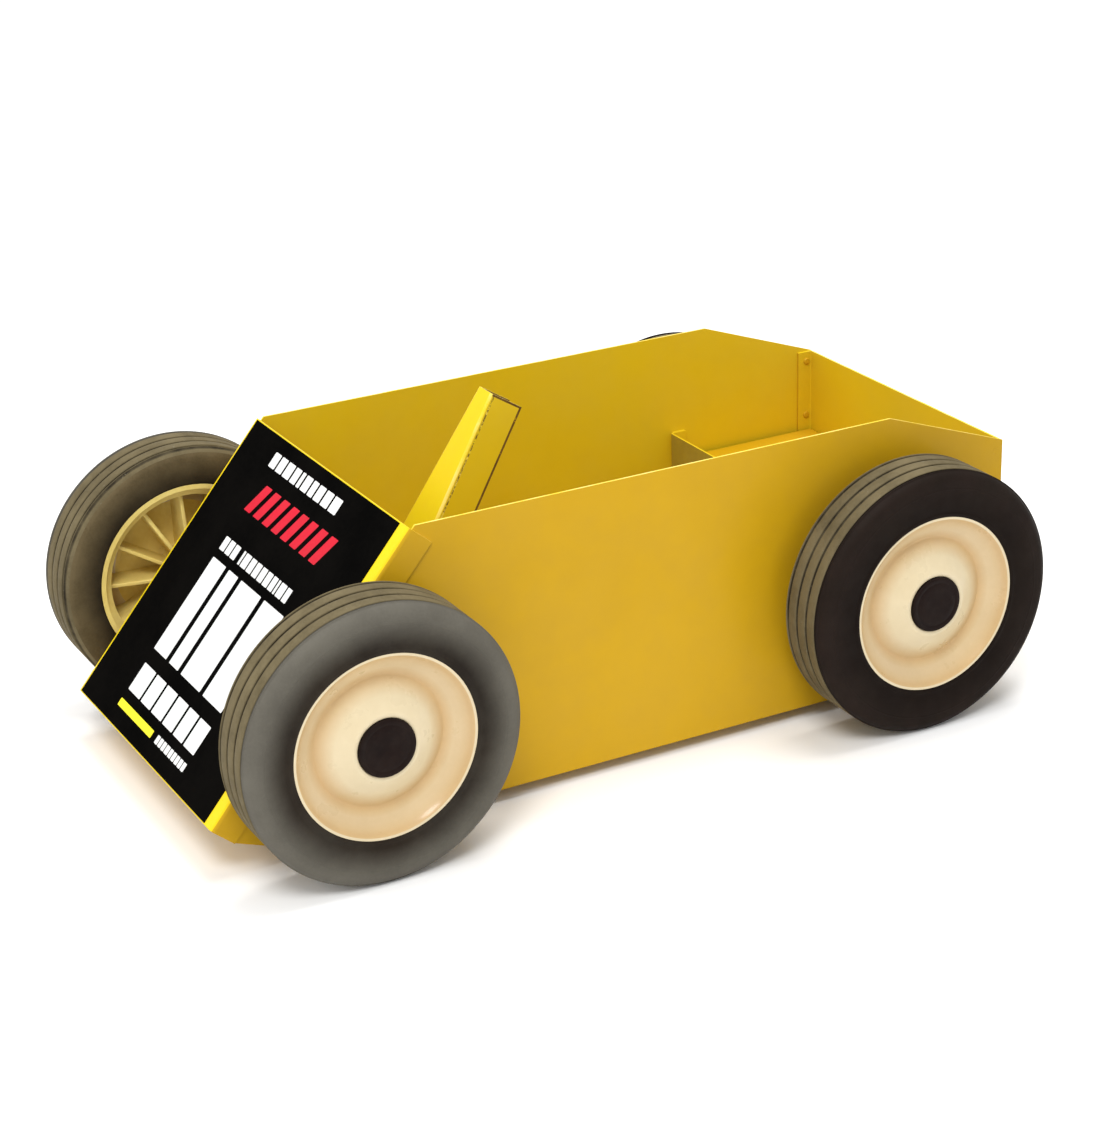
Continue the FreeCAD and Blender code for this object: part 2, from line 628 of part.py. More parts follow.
def lever_bracket():
    """A riveted plate with two ears and a bridge under the lever, which is its rest stop."""
    plate_y = PARTITION_REAR_Y + LAP
    half_width = BRACKET_PLATE_WIDTH / 2
    half_height = BRACKET_PLATE_HEIGHT / 2
    plate = block(-half_width, half_width, plate_y, plate_y + SHEET,
                  PIVOT_HEIGHT - half_height, PIVOT_HEIGHT + half_height)
    ear_inner = EAR_SPACING / 2
    ear_end = PIVOT_Y + LEVER_HALF_HEIGHT + SHEET
    bridge_top = PIVOT_HEIGHT - LEVER_HALF_HEIGHT - SIDE_PLAY
    ears = block(-ear_inner - SHEET, ear_inner + SHEET, plate_y, ear_end,
                 bridge_top - SHEET, PIVOT_HEIGHT + LEVER_HALF_HEIGHT)
    gap = block(-ear_inner, ear_inner, plate_y + SHEET, ear_end + SHEET,
                bridge_top, PIVOT_HEIGHT + 2 * LEVER_HALF_HEIGHT)
    bracket = plate.fuse(ears.cut(gap)).removeSplitter()
    bracket = drilled(bracket, PIN_RADIUS + RUNNING_GAP, [Vector(0, PIVOT_Y, PIVOT_HEIGHT)], X, EAR_SPACING)
    return drilled(bracket, RIVET_RADIUS, bracket_rivets(), Y, SHEET * 2)


def spray_lever():
    """A bell crank: one arm lies back to the can's nozzle, the other stands up for the cable."""
    pivot = Vector(0, PIVOT_Y, PIVOT_HEIGHT)
    half = LEVER_THICK / 2
    rise = LEVER_HALF_HEIGHT
    fork_front = CAN_Y - FORK_LENGTH / 2
    arm = block(-half, half, PIVOT_Y, fork_front + FORK_SLOT_RADIUS / 2,
                PIVOT_HEIGHT - rise, PIVOT_HEIGHT + rise)
    post = block(-half, half, PIVOT_Y - LEVER_ARM_HALF_WIDTH, PIVOT_Y + LEVER_ARM_HALF_WIDTH,
                 PIVOT_HEIGHT, PIVOT_HEIGHT + LEVER_ARM_UP + LEVER_ARM_HALF_WIDTH)
    boss_end = EAR_SPACING / 2 - SIDE_PLAY
    boss = rod(rise, pivot - X * boss_end, pivot + X * half)
    fork_top = PIVOT_HEIGHT + rise
    fork = block(-FORK_HALF_WIDTH, FORK_HALF_WIDTH, fork_front, fork_front + FORK_LENGTH,
                 fork_top - LEVER_THICK, fork_top)
    slot = block(-FORK_SLOT_RADIUS, FORK_SLOT_RADIUS, CAN_Y, CAN_Y + FORK_LENGTH, 0, SHELF_TOP)
    round_end = rod(FORK_SLOT_RADIUS, Vector(0, CAN_Y, 0), Vector(0, CAN_Y, SHELF_TOP))
    lever = boss.fuse([arm, post, fork]).removeSplitter().cut(slot).cut(round_end)
    lever = drilled(lever, PIN_RADIUS + RUNNING_GAP, [pivot], X, EAR_SPACING)
    spring_hole = pivot + Y * SPRING_LEG - Z * SPRING_COIL_RADIUS
    lever = drilled(lever, SPRING_WIRE + LAP, [spring_hole], X, FLANGE)
    return drilled(lever, CABLE_HOLE_RADIUS, [pivot + Z * LEVER_ARM_UP], X, FLANGE)


def lever_pin():
    pivot = Vector(0, PIVOT_Y, PIVOT_HEIGHT)
    end = EAR_SPACING / 2 + SHEET + LAP
    pin = rod(PIN_RADIUS, pivot - X * end, pivot + X * (end + PIN_STUB))
    head = rod(PIN_HEAD_RADIUS, pivot - X * (end + PIN_HEAD_THICK), pivot - X * end)
    return pin.fuse(head).removeSplitter()


def pin_clip():
    pivot = Vector(0, PIVOT_Y, PIVOT_HEIGHT)
    start = EAR_SPACING / 2 + SHEET + LAP
    return tube(PIN_HEAD_RADIUS, PIN_RADIUS, pivot + X * start, pivot + X * (start + PIN_STUB / 2))


def lever_spring():
    """A torsion spring round the pin: one leg hooks into the lever, the other bears on the bracket."""
    start_x = LEVER_THICK / 2 + SIDE_PLAY + SPRING_WIRE
    height = SPRING_PITCH * SPRING_TURNS
    helix = Part.makeHelix(SPRING_PITCH, height, SPRING_COIL_RADIUS)
    first = helix.Vertexes[0].Point
    profile = Part.Wire(Part.makeCircle(SPRING_WIRE, first, Y))
    coil = Part.Wire(helix.Edges).makePipeShell([profile], True, True)
    coil_end = Vector(SPRING_COIL_RADIUS, 0, height)
    corner = first + Y * SPRING_LEG
    lever_leg = rod(SPRING_WIRE, first, corner)
    lever_tip = rod(SPRING_WIRE, corner, corner - Z * (start_x + LEVER_THICK / 2))
    bracket_leg = rod(SPRING_WIRE, coil_end, coil_end - Y * (PIVOT_SETBACK - SHEET - 2 * LAP))
    spring = coil.fuse([lever_leg, Part.makeSphere(SPRING_WIRE, corner), lever_tip, bracket_leg])
    spring.rotate(Vector(0, 0, 0), Y, 90)
    spring.translate(Vector(start_x, PIVOT_Y, PIVOT_HEIGHT))
    return spring


# ---- Rivet groups
def rivet_group(places, direction, grip, head_radius=RIVET_HEAD_RADIUS):
    return [rivet(place, direction, grip, head_radius) for place in places]


def all_back_rivets():
    rivets = []
    for side in (-1, 1):
        seats = [place - X * (side * (LAP + SHEET)) for place in back_rivets(side)]
        rivets += rivet_group(seats, X * side, 2 * SHEET + LAP, SMALL_HEAD_RADIUS)
    return Part.makeCompound(rivets)


def all_partition_rivets():
    rivets = []
    for side in (-1, 1):
        inner = INNER_X - LAP - SHEET - LAP - SHEET
        seats = [Vector(side * inner, p.y, p.z) for p in partition_rivets(side)]
        rivets += rivet_group(seats, X * side, SIDE_X - inner, SMALL_HEAD_RADIUS)
    return Part.makeCompound(rivets)


def all_shelf_rivets():
    front = [Vector(p.x, PARTITION_REAR_Y + LAP + SHEET, p.z) for p in shelf_rivets(PARTITION_Y)]
    rear = [Vector(p.x, BACK_INNER_Y - LAP - SHEET, p.z) for p in shelf_rivets(BACK_INNER_Y)]
    grip = 2 * SHEET + LAP
    return Part.makeCompound(rivet_group(front, -Y, grip) + rivet_group(rear, Y, grip))


def all_collar_rivets():
    return Part.makeCompound(rivet_group(collar_rivets(), -Z, 2 * SHEET + LAP))


def all_base_rivets():
    return Part.makeCompound(rivet_group(base_rivets(), -Z, BASE_THICK + LAP + SHEET))


def all_bracket_rivets():
    return Part.makeCompound(rivet_group(bracket_rivets(), -Y, 2 * SHEET + LAP))


PIECES = {
    "side_panel_left": side_panel(1),
    "side_panel_right": side_panel(-1),
    "front_plate": front_plate(),
    "front_label": front_label(),
    "back_panel": back_panel(),
    "partition": partition(),
    "floor_pan": floor_pan(),
    "handle_channel": handle_channel(),
    "handle_base_plate": handle_base_plate(),
    "front_axle": axle(FRONT_AXLE_Y),
    "rear_axle": axle(REAR_AXLE_Y),
    "axle_spacers": at_every_wheel(axle_spacer),
    "axle_washers": at_every_wheel(axle_washer),
    "push_nuts": at_every_wheel(push_nut),
    "can_shelf": can_shelf(),
    "can_collar": can_collar(),
    "spray_lever": spray_lever(),
    "lever_bracket": lever_bracket(),
    "lever_pin": lever_pin(),
    "pin_clip": pin_clip(),
    "lever_spring": lever_spring(),
    "back_panel_rivets": all_back_rivets(),
    "partition_rivets": all_partition_rivets(),
    "shelf_rivets": all_shelf_rivets(),
    "collar_rivets": all_collar_rivets(),
    "base_rivets": all_base_rivets(),
    "bracket_rivets": all_bracket_rivets(),
}
for corner_name, (wheel_side, wheel_y) in WHEEL_SITES.items():
    PIECES["tyre_" + corner_name] = placed_wheel_piece(tyre(), wheel_side, wheel_y)
    PIECES["hub_" + corner_name] = placed_wheel_piece(hub(), wheel_side, wheel_y)
    PIECES["bushing_" + corner_name] = placed_wheel_piece(bushing(), wheel_side, wheel_y)
    PIECES["axle_cap_" + corner_name] = placed_wheel_piece(axle_cap(), wheel_side, wheel_y)

os.makedirs("parts", exist_ok=True)
for node, shape in PIECES.items():
    shape.exportStep("parts/" + node + ".step")
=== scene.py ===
"""Line striping machine: its looks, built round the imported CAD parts.

Metres, +Z up, front plate towards -Y. The wheels and the label are drawn in millimetres and brought to
metres with MM.
"""
import json
import math
import random

import bpy
from mathutils import Matrix, Vector

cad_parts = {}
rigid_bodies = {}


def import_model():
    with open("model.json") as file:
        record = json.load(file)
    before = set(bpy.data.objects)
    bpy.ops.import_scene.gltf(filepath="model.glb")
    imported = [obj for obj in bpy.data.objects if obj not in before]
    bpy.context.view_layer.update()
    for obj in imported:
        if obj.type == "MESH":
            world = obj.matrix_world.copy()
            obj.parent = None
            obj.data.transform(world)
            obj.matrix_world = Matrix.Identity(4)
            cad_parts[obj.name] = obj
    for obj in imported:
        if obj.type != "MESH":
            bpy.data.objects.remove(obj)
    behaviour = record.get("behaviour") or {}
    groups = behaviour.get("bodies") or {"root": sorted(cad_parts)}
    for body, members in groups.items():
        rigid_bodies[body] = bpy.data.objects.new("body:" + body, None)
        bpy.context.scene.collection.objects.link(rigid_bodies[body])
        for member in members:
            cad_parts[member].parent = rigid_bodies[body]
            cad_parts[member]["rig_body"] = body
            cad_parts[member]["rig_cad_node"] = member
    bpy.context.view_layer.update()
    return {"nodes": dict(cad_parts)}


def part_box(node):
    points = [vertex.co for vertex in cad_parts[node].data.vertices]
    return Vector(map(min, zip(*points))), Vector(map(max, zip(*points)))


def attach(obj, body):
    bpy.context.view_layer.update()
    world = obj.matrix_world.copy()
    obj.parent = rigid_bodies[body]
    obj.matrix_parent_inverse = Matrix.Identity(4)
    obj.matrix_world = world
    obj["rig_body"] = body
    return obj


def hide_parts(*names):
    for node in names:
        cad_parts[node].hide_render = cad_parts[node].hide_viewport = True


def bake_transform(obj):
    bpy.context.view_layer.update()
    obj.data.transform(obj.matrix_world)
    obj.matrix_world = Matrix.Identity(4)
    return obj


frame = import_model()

MM = 0.001
X = Vector((1, 0, 0))

# ---- Camera
CAMERA_PLACE = Vector((1.66322, -0.87055, 0.89628))
CAMERA_AZIMUTH = math.radians(62.206)
CAMERA_RISE = math.radians(22.717)
CAMERA_ROLL = math.radians(-1.841)
CAMERA_LENS = 85.85

# ---- Sheet metal and its fittings
SHARP_ANGLE = math.radians(38.0)
MERGE_GAP = 0.005 * MM        # points of a CAD mesh closer than this are one
EASED_EDGE = 0.35 * MM
EDGE_WIDTH_LIMIT = 1.75 * MM  # a face narrower than this can be a cut edge
EDGE_LENGTH_LIMIT = 3.0 * MM  # its shorter sides are left out
SQUARE_TURN = 0.5             # cosine of the least turn at a square corner
PANEL_REACH = 60.0 * MM       # a side panel's faces lie farther than this from the middle
CHANNEL_LEAN = math.radians(32.3)
FRONT_HIGHLIGHT_START = 2.9 * MM    # a painted highlight band, flecked with dark chips, on the channel's sides behind its bends
FRONT_HIGHLIGHT_END = 4.1 * MM
REAR_SHADE_BAND = 27.2 * MM          # a painted shade band along the channel's rear edges
TOP_SHADE_BAND = 1.6 * MM            # a painted shade band just under the channel's top edge
WELD_BEAD = 2.2 * MM
WELD_HALF_WIDTH = 36.0 * MM   # half the channel's width at its foot
WELD_DEPTH = 34.3 * MM        # the channel's depth along its base plate

# ---- Label
LABEL_FILM = 0.4 * MM
INK = 0.05 * MM
PRINT_CORNER = 0.8            # mm, the largest corner radius of a printed block

# ---- Wheels, in mm
TYRE_STEPS = 160
HUB_STEPS = 128
CAP_STEPS = 72
TYRE_WIDTH = 50.75
WHEEL_RADIUS = 101.6
RIM_RADIUS = 67.0
INNER_RIM_RADIUS = 73.0
RIM_FACE = 49.35
BEAD_GROOVE = 1.6             # depth of the rim's groove under the tyre
CAP_SEAT = 40.0
CAP_DEPTH = 11.0
CAP_RADIUS = 21.0
CAP_EDGE = 1.6                # radius of the cap's rolled edge
BORE_RADIUS = 8.05
SEAT_GAP = 0.02
GROOVE_HALF = 1.3             # half the width of a tread groove
GROOVE_DEPTH = 1.6
SHOULDER = 8.0                # from the tyre's side to the middle of its first groove
TREAD_DROP = 4.2              # how far below the running surface the tread rubber goes
SHOULDER_CENTRE = 9.6
SHOULDER_RADIUS = 9.55
RIB_CROWN = 0.7               # radius at the top of a groove
GROOVE_ROOT = 0.5             # radius at its bottom
GROOVES = 4
CROWN_START = 73.0            # where the sidewall's crown band begins: lighter outwards, painted sheen with dust
CROWN_RUN = 19.0
WEB_FACE = 36.0               # the hub's outer skin lies past this
WEB_BACK = 33.5               # behind this the bore takes the brighter inner copy too
DOME_START = 24.5
VALLEY_RADIUS = 47.6          # the bottom of the hub's dish
VALLEY_REACH = 12.0
RIM_SHADE_START = 54.0
RIM_SHADE_RUN = 9.0
RIM_INNER_EDGE = 65.2
RIBS = 12
RIB_THICK = 3.0

# ---- Colours, linear
MUSTARD = (0.585, 0.340, 0.006, 1)
MUSTARD_DEEP = (0.545, 0.314, 0.006, 1)
# A lighter olive copy of the mustard paint: painted light on faces inside the box.
INSIDE_LIT_OLIVE = (0.70, 0.495, 0.010, 1)
# A lemon copy of the mustard paint: painted front light, also the lighter tone of edge highlights.
LIT_LEMON = (0.79, 0.60, 0.005, 1)
# A pale cream for painted highlights on edges.
EDGE_HIGHLIGHT_CREAM = (0.90, 0.70, 0.16, 1)
PRIMER = (0.15, 0.085, 0.015, 1)
RUBBED = (0.50, 0.27, 0.02, 1)
ROAD_DUST = (0.33, 0.29, 0.20, 1)
COAT_ROUGHNESS = 0.1
PAINT_GRAIN = (700.0, 0.03)
INK_GRAIN = (1600.0, 0.006)


# ---- Effects that several finishes share
def effect(name, inputs, output, kind):
    """An empty node group with named inputs and one output; returns its tree and its two ends."""
    tree = bpy.data.node_groups.new(name, "ShaderNodeTree")
    for label, value in inputs:
        socket_kind = "NodeSocketColor" if isinstance(value, tuple) else "NodeSocketFloat"
        socket = tree.interface.new_socket(name=label, in_out="INPUT", socket_type=socket_kind)
        socket.default_value = value
    tree.interface.new_socket(name=output, in_out="OUTPUT", socket_type=kind)
    return tree, tree.nodes.new("NodeGroupInput"), tree.nodes.new("NodeGroupOutput")


def plug(tree, value, socket):
    """Links an output to a socket, or sets the socket to a plain value."""
    if isinstance(value, bpy.types.NodeSocket):
        tree.links.new(value, socket)
    else:
        socket.default_value = value


def maths(tree, operation, first, second=0.0):
    """One sum on values or outputs."""
    node = tree.nodes.new("ShaderNodeMath")
    node.operation = operation
    plug(tree, first, node.inputs[0])
    plug(tree, second, node.inputs[1])
    return node.outputs[0]


def noise(tree, scale, detail=3.0, roughness=0.55):
    """Noise on object coordinates; scale counts its swells per metre."""
    place = tree.nodes.new("ShaderNodeTexCoord").outputs["Object"]
    node = tree.nodes.new("ShaderNodeTexNoise")
    tree.links.new(place, node.inputs["Vector"])
    plug(tree, scale, node.inputs["Scale"])
    node.inputs["Detail"].default_value = detail
    node.inputs["Roughness"].default_value = roughness
    return node.outputs["Fac"]


def spread(tree, value, low, high, new_low=0.0, new_high=1.0):
    """Eases a value from the run low to high into the run new_low to new_high."""
    node = tree.nodes.new("ShaderNodeMapRange")
    node.interpolation_type = "SMOOTHSTEP"
    for socket, given in zip(node.inputs[:5], (value, low, high, new_low, new_high)):
        plug(tree, given, socket)
    return node.outputs["Result"]


def mixed(tree, amount, first, second):
    """The first colour, giving way to the second as the amount grows."""
    node = tree.nodes.new("ShaderNodeMix")
    node.data_type = "RGBA"
    plug(tree, amount, node.inputs["Factor"])
    plug(tree, first, node.inputs[6])
    plug(tree, second, node.inputs[7])
    return node.outputs[2]


def tone_drift():
    """One colour that drifts slowly towards another over the surface."""
    tree, given, out = effect("tone drift", [("Size", 8.0), ("First", MUSTARD), ("Second", MUSTARD)],
                              "Colour", "NodeSocketColor")
    broad = noise(tree, given.outputs["Size"], 3.0)
    fine = noise(tree, maths(tree, "MULTIPLY", given.outputs["Size"], 14.0), 2.0)
    both = maths(tree, "ADD", maths(tree, "MULTIPLY", broad, 0.75), maths(tree, "MULTIPLY", fine, 0.25))
    drift = spread(tree, both, 0.32, 0.68)
    tree.links.new(mixed(tree, drift, given.outputs["First"], given.outputs["Second"]), out.inputs[0])
    return tree


def fine_grain():
    """The small relief of a sprayed, rolled or moulded skin."""
    tree, given, out = effect("fine grain", [("Size", 900.0)], "Height", "NodeSocketFloat")
    skin = noise(tree, given.outputs["Size"], 2.0, 0.5)
    swell = noise(tree, maths(tree, "MULTIPLY", given.outputs["Size"], 0.12), 1.0)
    low_skin = maths(tree, "MULTIPLY", skin, 0.5)
    tree.links.new(maths(tree, "ADD", low_skin, maths(tree, "MULTIPLY", swell, 0.9)), out.inputs[0])
    return tree


def worn_spots():
    """Small chips and rubs, thicker where the amount is higher."""
    tree, given, out = effect("worn spots", [("Size", 60.0), ("Amount", 0.2)], "Mask", "NodeSocketFloat")
    patches = noise(tree, given.outputs["Size"], 2.0)
    specks = noise(tree, maths(tree, "MULTIPLY", given.outputs["Size"], 7.0), 4.0, 0.7)
    joint = maths(tree, "ADD", maths(tree, "MULTIPLY", patches, 0.45), maths(tree, "MULTIPLY", specks, 0.55))
    edge = maths(tree, "SUBTRACT", 0.72, maths(tree, "MULTIPLY", given.outputs["Amount"], 0.4))
    tree.links.new(spread(tree, joint, edge, maths(tree, "ADD", edge, 0.03)), out.inputs[0])
    return tree


def settled_dust():
    """A thin patchy film of dust."""
    tree, given, out = effect("settled dust", [("Size", 20.0), ("Amount", 0.3)], "Mask", "NodeSocketFloat")
    cloud = spread(tree, noise(tree, given.outputs["Size"], 5.0, 0.65), 0.3, 0.75)
    tree.links.new(maths(tree, "MULTIPLY", cloud, given.outputs["Amount"]), out.inputs[0])
    return tree


TONES = tone_drift()
GRAIN = fine_grain()
WORN = worn_spots()
DUST = settled_dust()


def placed_effect(tree, group, **values):
    node = tree.nodes.new("ShaderNodeGroup")
    node.node_tree = group
    for label, value in values.items():
        node.inputs[label].default_value = value
    return node.outputs[0]


def finish(name, tones, drift=6.0, rough=(0.35, 0.5), grain=(900.0, 0.03), worn=None, dust=None,
           metallic=0.0, coat=0.0, bands=None, specular=0.5):
    """A finish: drifting tones, then bands, wear and dust over them, with its own gloss and grain."""
    material = bpy.data.materials.new(name)
    material.use_nodes = True
    tree = material.node_tree
    skin = tree.nodes["Principled BSDF"]
    colour = placed_effect(tree, TONES, Size=drift, First=tones[0], Second=tones[1])
    if bands:
        attribute, band_tones = bands
        depth = tree.nodes.new("ShaderNodeAttribute")
        depth.attribute_name = attribute
        band_colour = placed_effect(tree, TONES, Size=drift * 2, First=band_tones[0], Second=band_tones[1])
        colour = mixed(tree, depth.outputs["Fac"], colour, band_colour)
    if worn:
        tone, size, amount = worn
        colour = mixed(tree, placed_effect(tree, WORN, Size=size, Amount=amount), colour, tone)
    gloss = spread(tree, noise(tree, drift * 5, 4.0), 0.3, 0.7, *rough)
    if dust:
        tone, size, amount = dust
        film = placed_effect(tree, DUST, Size=size, Amount=amount)
        colour = mixed(tree, film, colour, tone)
        gloss = maths(tree, "ADD", gloss, maths(tree, "MULTIPLY", film, 0.4))
    bump = tree.nodes.new("ShaderNodeBump")
    bump.inputs["Strength"].default_value = 1.0
    bump.inputs["Distance"].default_value = grain[1] * MM
    tree.links.new(placed_effect(tree, GRAIN, Size=grain[0]), bump.inputs["Height"])
    tree.links.new(bump.outputs["Normal"], skin.inputs["Normal"])
    tree.links.new(colour, skin.inputs["Base Color"])
    tree.links.new(gloss, skin.inputs["Roughness"])
    skin.inputs["Metallic"].default_value = metallic
    skin.inputs["Coat Weight"].default_value = coat
    skin.inputs["Coat Roughness"].default_value = COAT_ROUGHNESS
    skin.inputs["Specular IOR Level"].default_value = specular
    return material


# A finish names its tones, then grain as (size, height in mm), worn and dust as (colour, size, amount).
PAINT = finish("mustard_paint", (MUSTARD, MUSTARD_DEEP), drift=4.0, rough=(0.40, 0.52), grain=PAINT_GRAIN,
               worn=(RUBBED, 30.0, 0.03), dust=(ROAD_DUST, 14.0, 0.03), coat=0.03, specular=0.14)
# Front faces: a lemon copy of the paint, painted front light.
FRONT_LIT_PAINT = finish("lemon_paint", (LIT_LEMON, (0.78, 0.56, 0.009, 1)), drift=9.0, rough=(0.40, 0.52),
                     grain=PAINT_GRAIN, worn=(RUBBED, 40.0, 0.08), dust=(ROAD_DUST, 14.0, 0.02),
                     coat=0.03, specular=0.14)
# Faces inside the box: the paint made lighter and olive, painted light on their shade.
INSIDE_LIT_PAINT = finish("inside_paint_painted_light", (INSIDE_LIT_OLIVE, (0.67, 0.46, 0.010, 1)), drift=5.0, rough=(0.42, 0.55),
                      grain=PAINT_GRAIN, worn=(RUBBED, 30.0, 0.05), dust=(ROAD_DUST, 14.0, 0.05),
                      specular=0.12)
# The partition's front: the paint darkened, painted shade, with dust over it.
PARTITION_SHADE_PAINT = finish("partition_painted_shade", ((0.40, 0.30, 0.028, 1), (0.31, 0.225, 0.024, 1)), drift=10.0,
                       rough=(0.5, 0.66), grain=(800.0, 0.04), worn=((0.22, 0.15, 0.04, 1), 40.0, 0.12),
                       dust=(ROAD_DUST, 18.0, 0.10), specular=0.12)
# Upward cut edges and the channel's bends: a painted highlight, with dark chips.
CUT_EDGE_HIGHLIGHT = finish("cut_edge_painted_highlight", (EDGE_HIGHLIGHT_CREAM, LIT_LEMON), drift=45.0, rough=(0.4, 0.6), grain=(1400.0, 0.03),
                  worn=(PRIMER, 90.0, 0.16), specular=0.3)
# Behind the channel's bends: a painted highlight band, flecked thickly with dark chips.
CHIPPED_EDGE_HIGHLIGHT = finish("chipped_edge_painted_highlight", (EDGE_HIGHLIGHT_CREAM, LIT_LEMON), drift=60.0, rough=(0.45, 0.65),
                      grain=(1500.0, 0.06), worn=(PRIMER, 330.0, 0.60), specular=0.2)
# A dark brown for painted shadow lines: flange ends and the channel's edges.
SEAM_SHADOW = finish("seam_painted_shadow", ((0.17, 0.09, 0.015, 1), (0.10, 0.05, 0.012, 1)), drift=50.0, rough=(0.6, 0.8),
              grain=(1500.0, 0.05), worn=(MUSTARD_DEEP, 110.0, 0.30), specular=0.15)
LABEL_FACE = finish("label_film", ((0.0022, 0.0021, 0.002, 1), (0.004, 0.0036, 0.0032, 1)), drift=18.0,
                    rough=(0.5, 0.56), grain=INK_GRAIN, worn=((0.012, 0.012, 0.012, 1), 60.0, 0.01),
                    dust=(ROAD_DUST, 30.0, 0.001), specular=0.0)
WHITE_INK = finish("white_ink", ((0.74, 0.74, 0.73, 1), (0.68, 0.68, 0.66, 1)), drift=30.0, rough=(0.4, 0.55),
                   grain=INK_GRAIN, worn=((0.3, 0.3, 0.3, 1), 90.0, 0.03), dust=(ROAD_DUST, 30.0, 0.04),
                   specular=0.2)
RED_INK = finish("red_ink", ((0.60, 0.006, 0.026, 1), (0.52, 0.005, 0.022, 1)), drift=30.0, rough=(0.4, 0.55),
                 grain=INK_GRAIN, worn=((0.2, 0.01, 0.01, 1), 90.0, 0.04), dust=(ROAD_DUST, 30.0, 0.02),
                 specular=0.2)
YELLOW_INK = finish("yellow_ink", ((0.85, 0.76, 0.015, 1), (0.78, 0.68, 0.015, 1)), drift=30.0,
                    rough=(0.4, 0.55), grain=INK_GRAIN, worn=((0.4, 0.3, 0.02, 1), 90.0, 0.04),
                    dust=(ROAD_DUST, 30.0, 0.02), specular=0.2)
TREAD = finish("tread_rubber", ((0.140, 0.112, 0.060, 1), (0.090, 0.071, 0.037, 1)), drift=30.0,
               rough=(0.66, 0.82), grain=(1100.0, 0.10), bands=("groove", ((0.020, 0.016, 0.010, 1),
               (0.014, 0.011, 0.007, 1))), worn=((0.17, 0.15, 0.10, 1), 160.0, 0.24),
               dust=((0.21, 0.17, 0.095, 1), 45.0, 0.35), specular=0.08)
# Front sidewalls: a lighter grey copy of the rubber, painted sheen, with dust over it.
FRONT_WALL_SHEEN = finish("sidewall_rubber_dust_and_painted_sheen", ((0.020, 0.014, 0.009, 1), (0.014, 0.010, 0.007, 1)), drift=18.0,
                    rough=(0.5, 0.64), grain=(1300.0, 0.03), bands=("crown", ((0.122, 0.113, 0.092, 1),
                    (0.100, 0.092, 0.075, 1))), worn=((0.12, 0.11, 0.10, 1), 110.0, 0.06),
                    dust=((0.16, 0.15, 0.12, 1), 24.0, 0.10), specular=0.08)
REAR_WALL = finish("dark_sidewall_rubber", ((0.009, 0.0055, 0.004, 1), (0.007, 0.004, 0.003, 1)), drift=18.0,
                   rough=(0.5, 0.64), grain=(1300.0, 0.03), bands=("crown", ((0.016, 0.010, 0.008, 1),
                   (0.012, 0.008, 0.006, 1))), worn=((0.04, 0.03, 0.024, 1), 110.0, 0.05),
                   dust=((0.08, 0.06, 0.04, 1), 24.0, 0.05), specular=0.05)
INNER_WALL = finish("grimy_inner_rubber", ((0.014, 0.010, 0.006, 1), (0.009, 0.006, 0.004, 1)), drift=22.0,
                    rough=(0.6, 0.76), grain=(1200.0, 0.05), bands=("crown", ((0.118, 0.088, 0.044, 1),
                    (0.082, 0.060, 0.028, 1))), worn=((0.13, 0.10, 0.05, 1), 110.0, 0.08),
                    dust=((0.16, 0.12, 0.06, 1), 26.0, 0.16), specular=0.08)
# Its dish band is painted shade: orange in the valley of the dish and under the rim.
CREAM = finish("cream_moulding", ((0.69, 0.585, 0.385, 1), (0.64, 0.535, 0.34, 1)), drift=12.0,
               rough=(0.26, 0.38), grain=(420.0, 0.02),
               bands=("dish", ((0.50, 0.265, 0.055, 1), (0.45, 0.235, 0.050, 1))),
               worn=((0.56, 0.40, 0.21, 1), 60.0, 0.01), dust=((0.56, 0.40, 0.2, 1), 30.0, 0.08),
               coat=0.25, specular=0.35)
# Behind the web: a brighter yellow copy of the cream, painted light on the shaded inner side.
INNER_CREAM_LIT = finish("yellowed_moulding", ((0.88, 0.72, 0.24, 1), (0.76, 0.58, 0.16, 1)), drift=20.0,
                     rough=(0.36, 0.5), grain=(600.0, 0.03), worn=((0.35, 0.25, 0.08, 1), 70.0, 0.08),
                     dust=((0.55, 0.40, 0.13, 1), 30.0, 0.20), specular=0.3)
CAP_BLACK = finish("cap_moulding", ((0.010, 0.0045, 0.0035, 1), (0.007, 0.0035, 0.003, 1)), drift=40.0,
                   rough=(0.45, 0.6), grain=(1500.0, 0.04), worn=((0.06, 0.045, 0.04, 1), 160.0, 0.10),
                   dust=((0.12, 0.09, 0.07, 1), 60.0, 0.05), specular=0.07)
ZINC = finish("zinc_plate", ((0.62, 0.62, 0.58, 1), (0.50, 0.50, 0.47, 1)), drift=50.0, rough=(0.28, 0.42),
              grain=(1400.0, 0.02), worn=((0.32, 0.29, 0.24, 1), 90.0, 0.10), metallic=0.9)
NYLON = finish("nylon_bushing", ((0.70, 0.67, 0.58, 1), (0.62, 0.59, 0.50, 1)), drift=60.0, rough=(0.4, 0.55),
               grain=(1200.0, 0.02), worn=((0.3, 0.27, 0.2, 1), 120.0, 0.10))
WELD = finish("painted_weld", (MUSTARD_DEEP, (0.40, 0.22, 0.012, 1)), drift=120.0, rough=(0.35, 0.5),
              grain=(1800.0, 0.08), worn=(PRIMER, 120.0, 0.18), coat=0.1)
FLOOR = finish("studio_floor", ((0.95, 0.95, 0.945, 1), (0.93, 0.93, 0.925, 1)), drift=1.2, rough=(0.7, 0.85),
               grain=(60.0, 0.05), worn=((0.92, 0.92, 0.91, 1), 9.0, 0.05), specular=0.1)
SLOT_FINISHES = {
    "painted_sheet": PAINT,
    "label_print": LABEL_FACE,
    "zinc_steel": ZINC,
    "tyre_rubber": TREAD,
    "cream_plastic": CREAM,
    "bushing_plastic": NYLON,
    "black_plastic": CAP_BLACK,
}


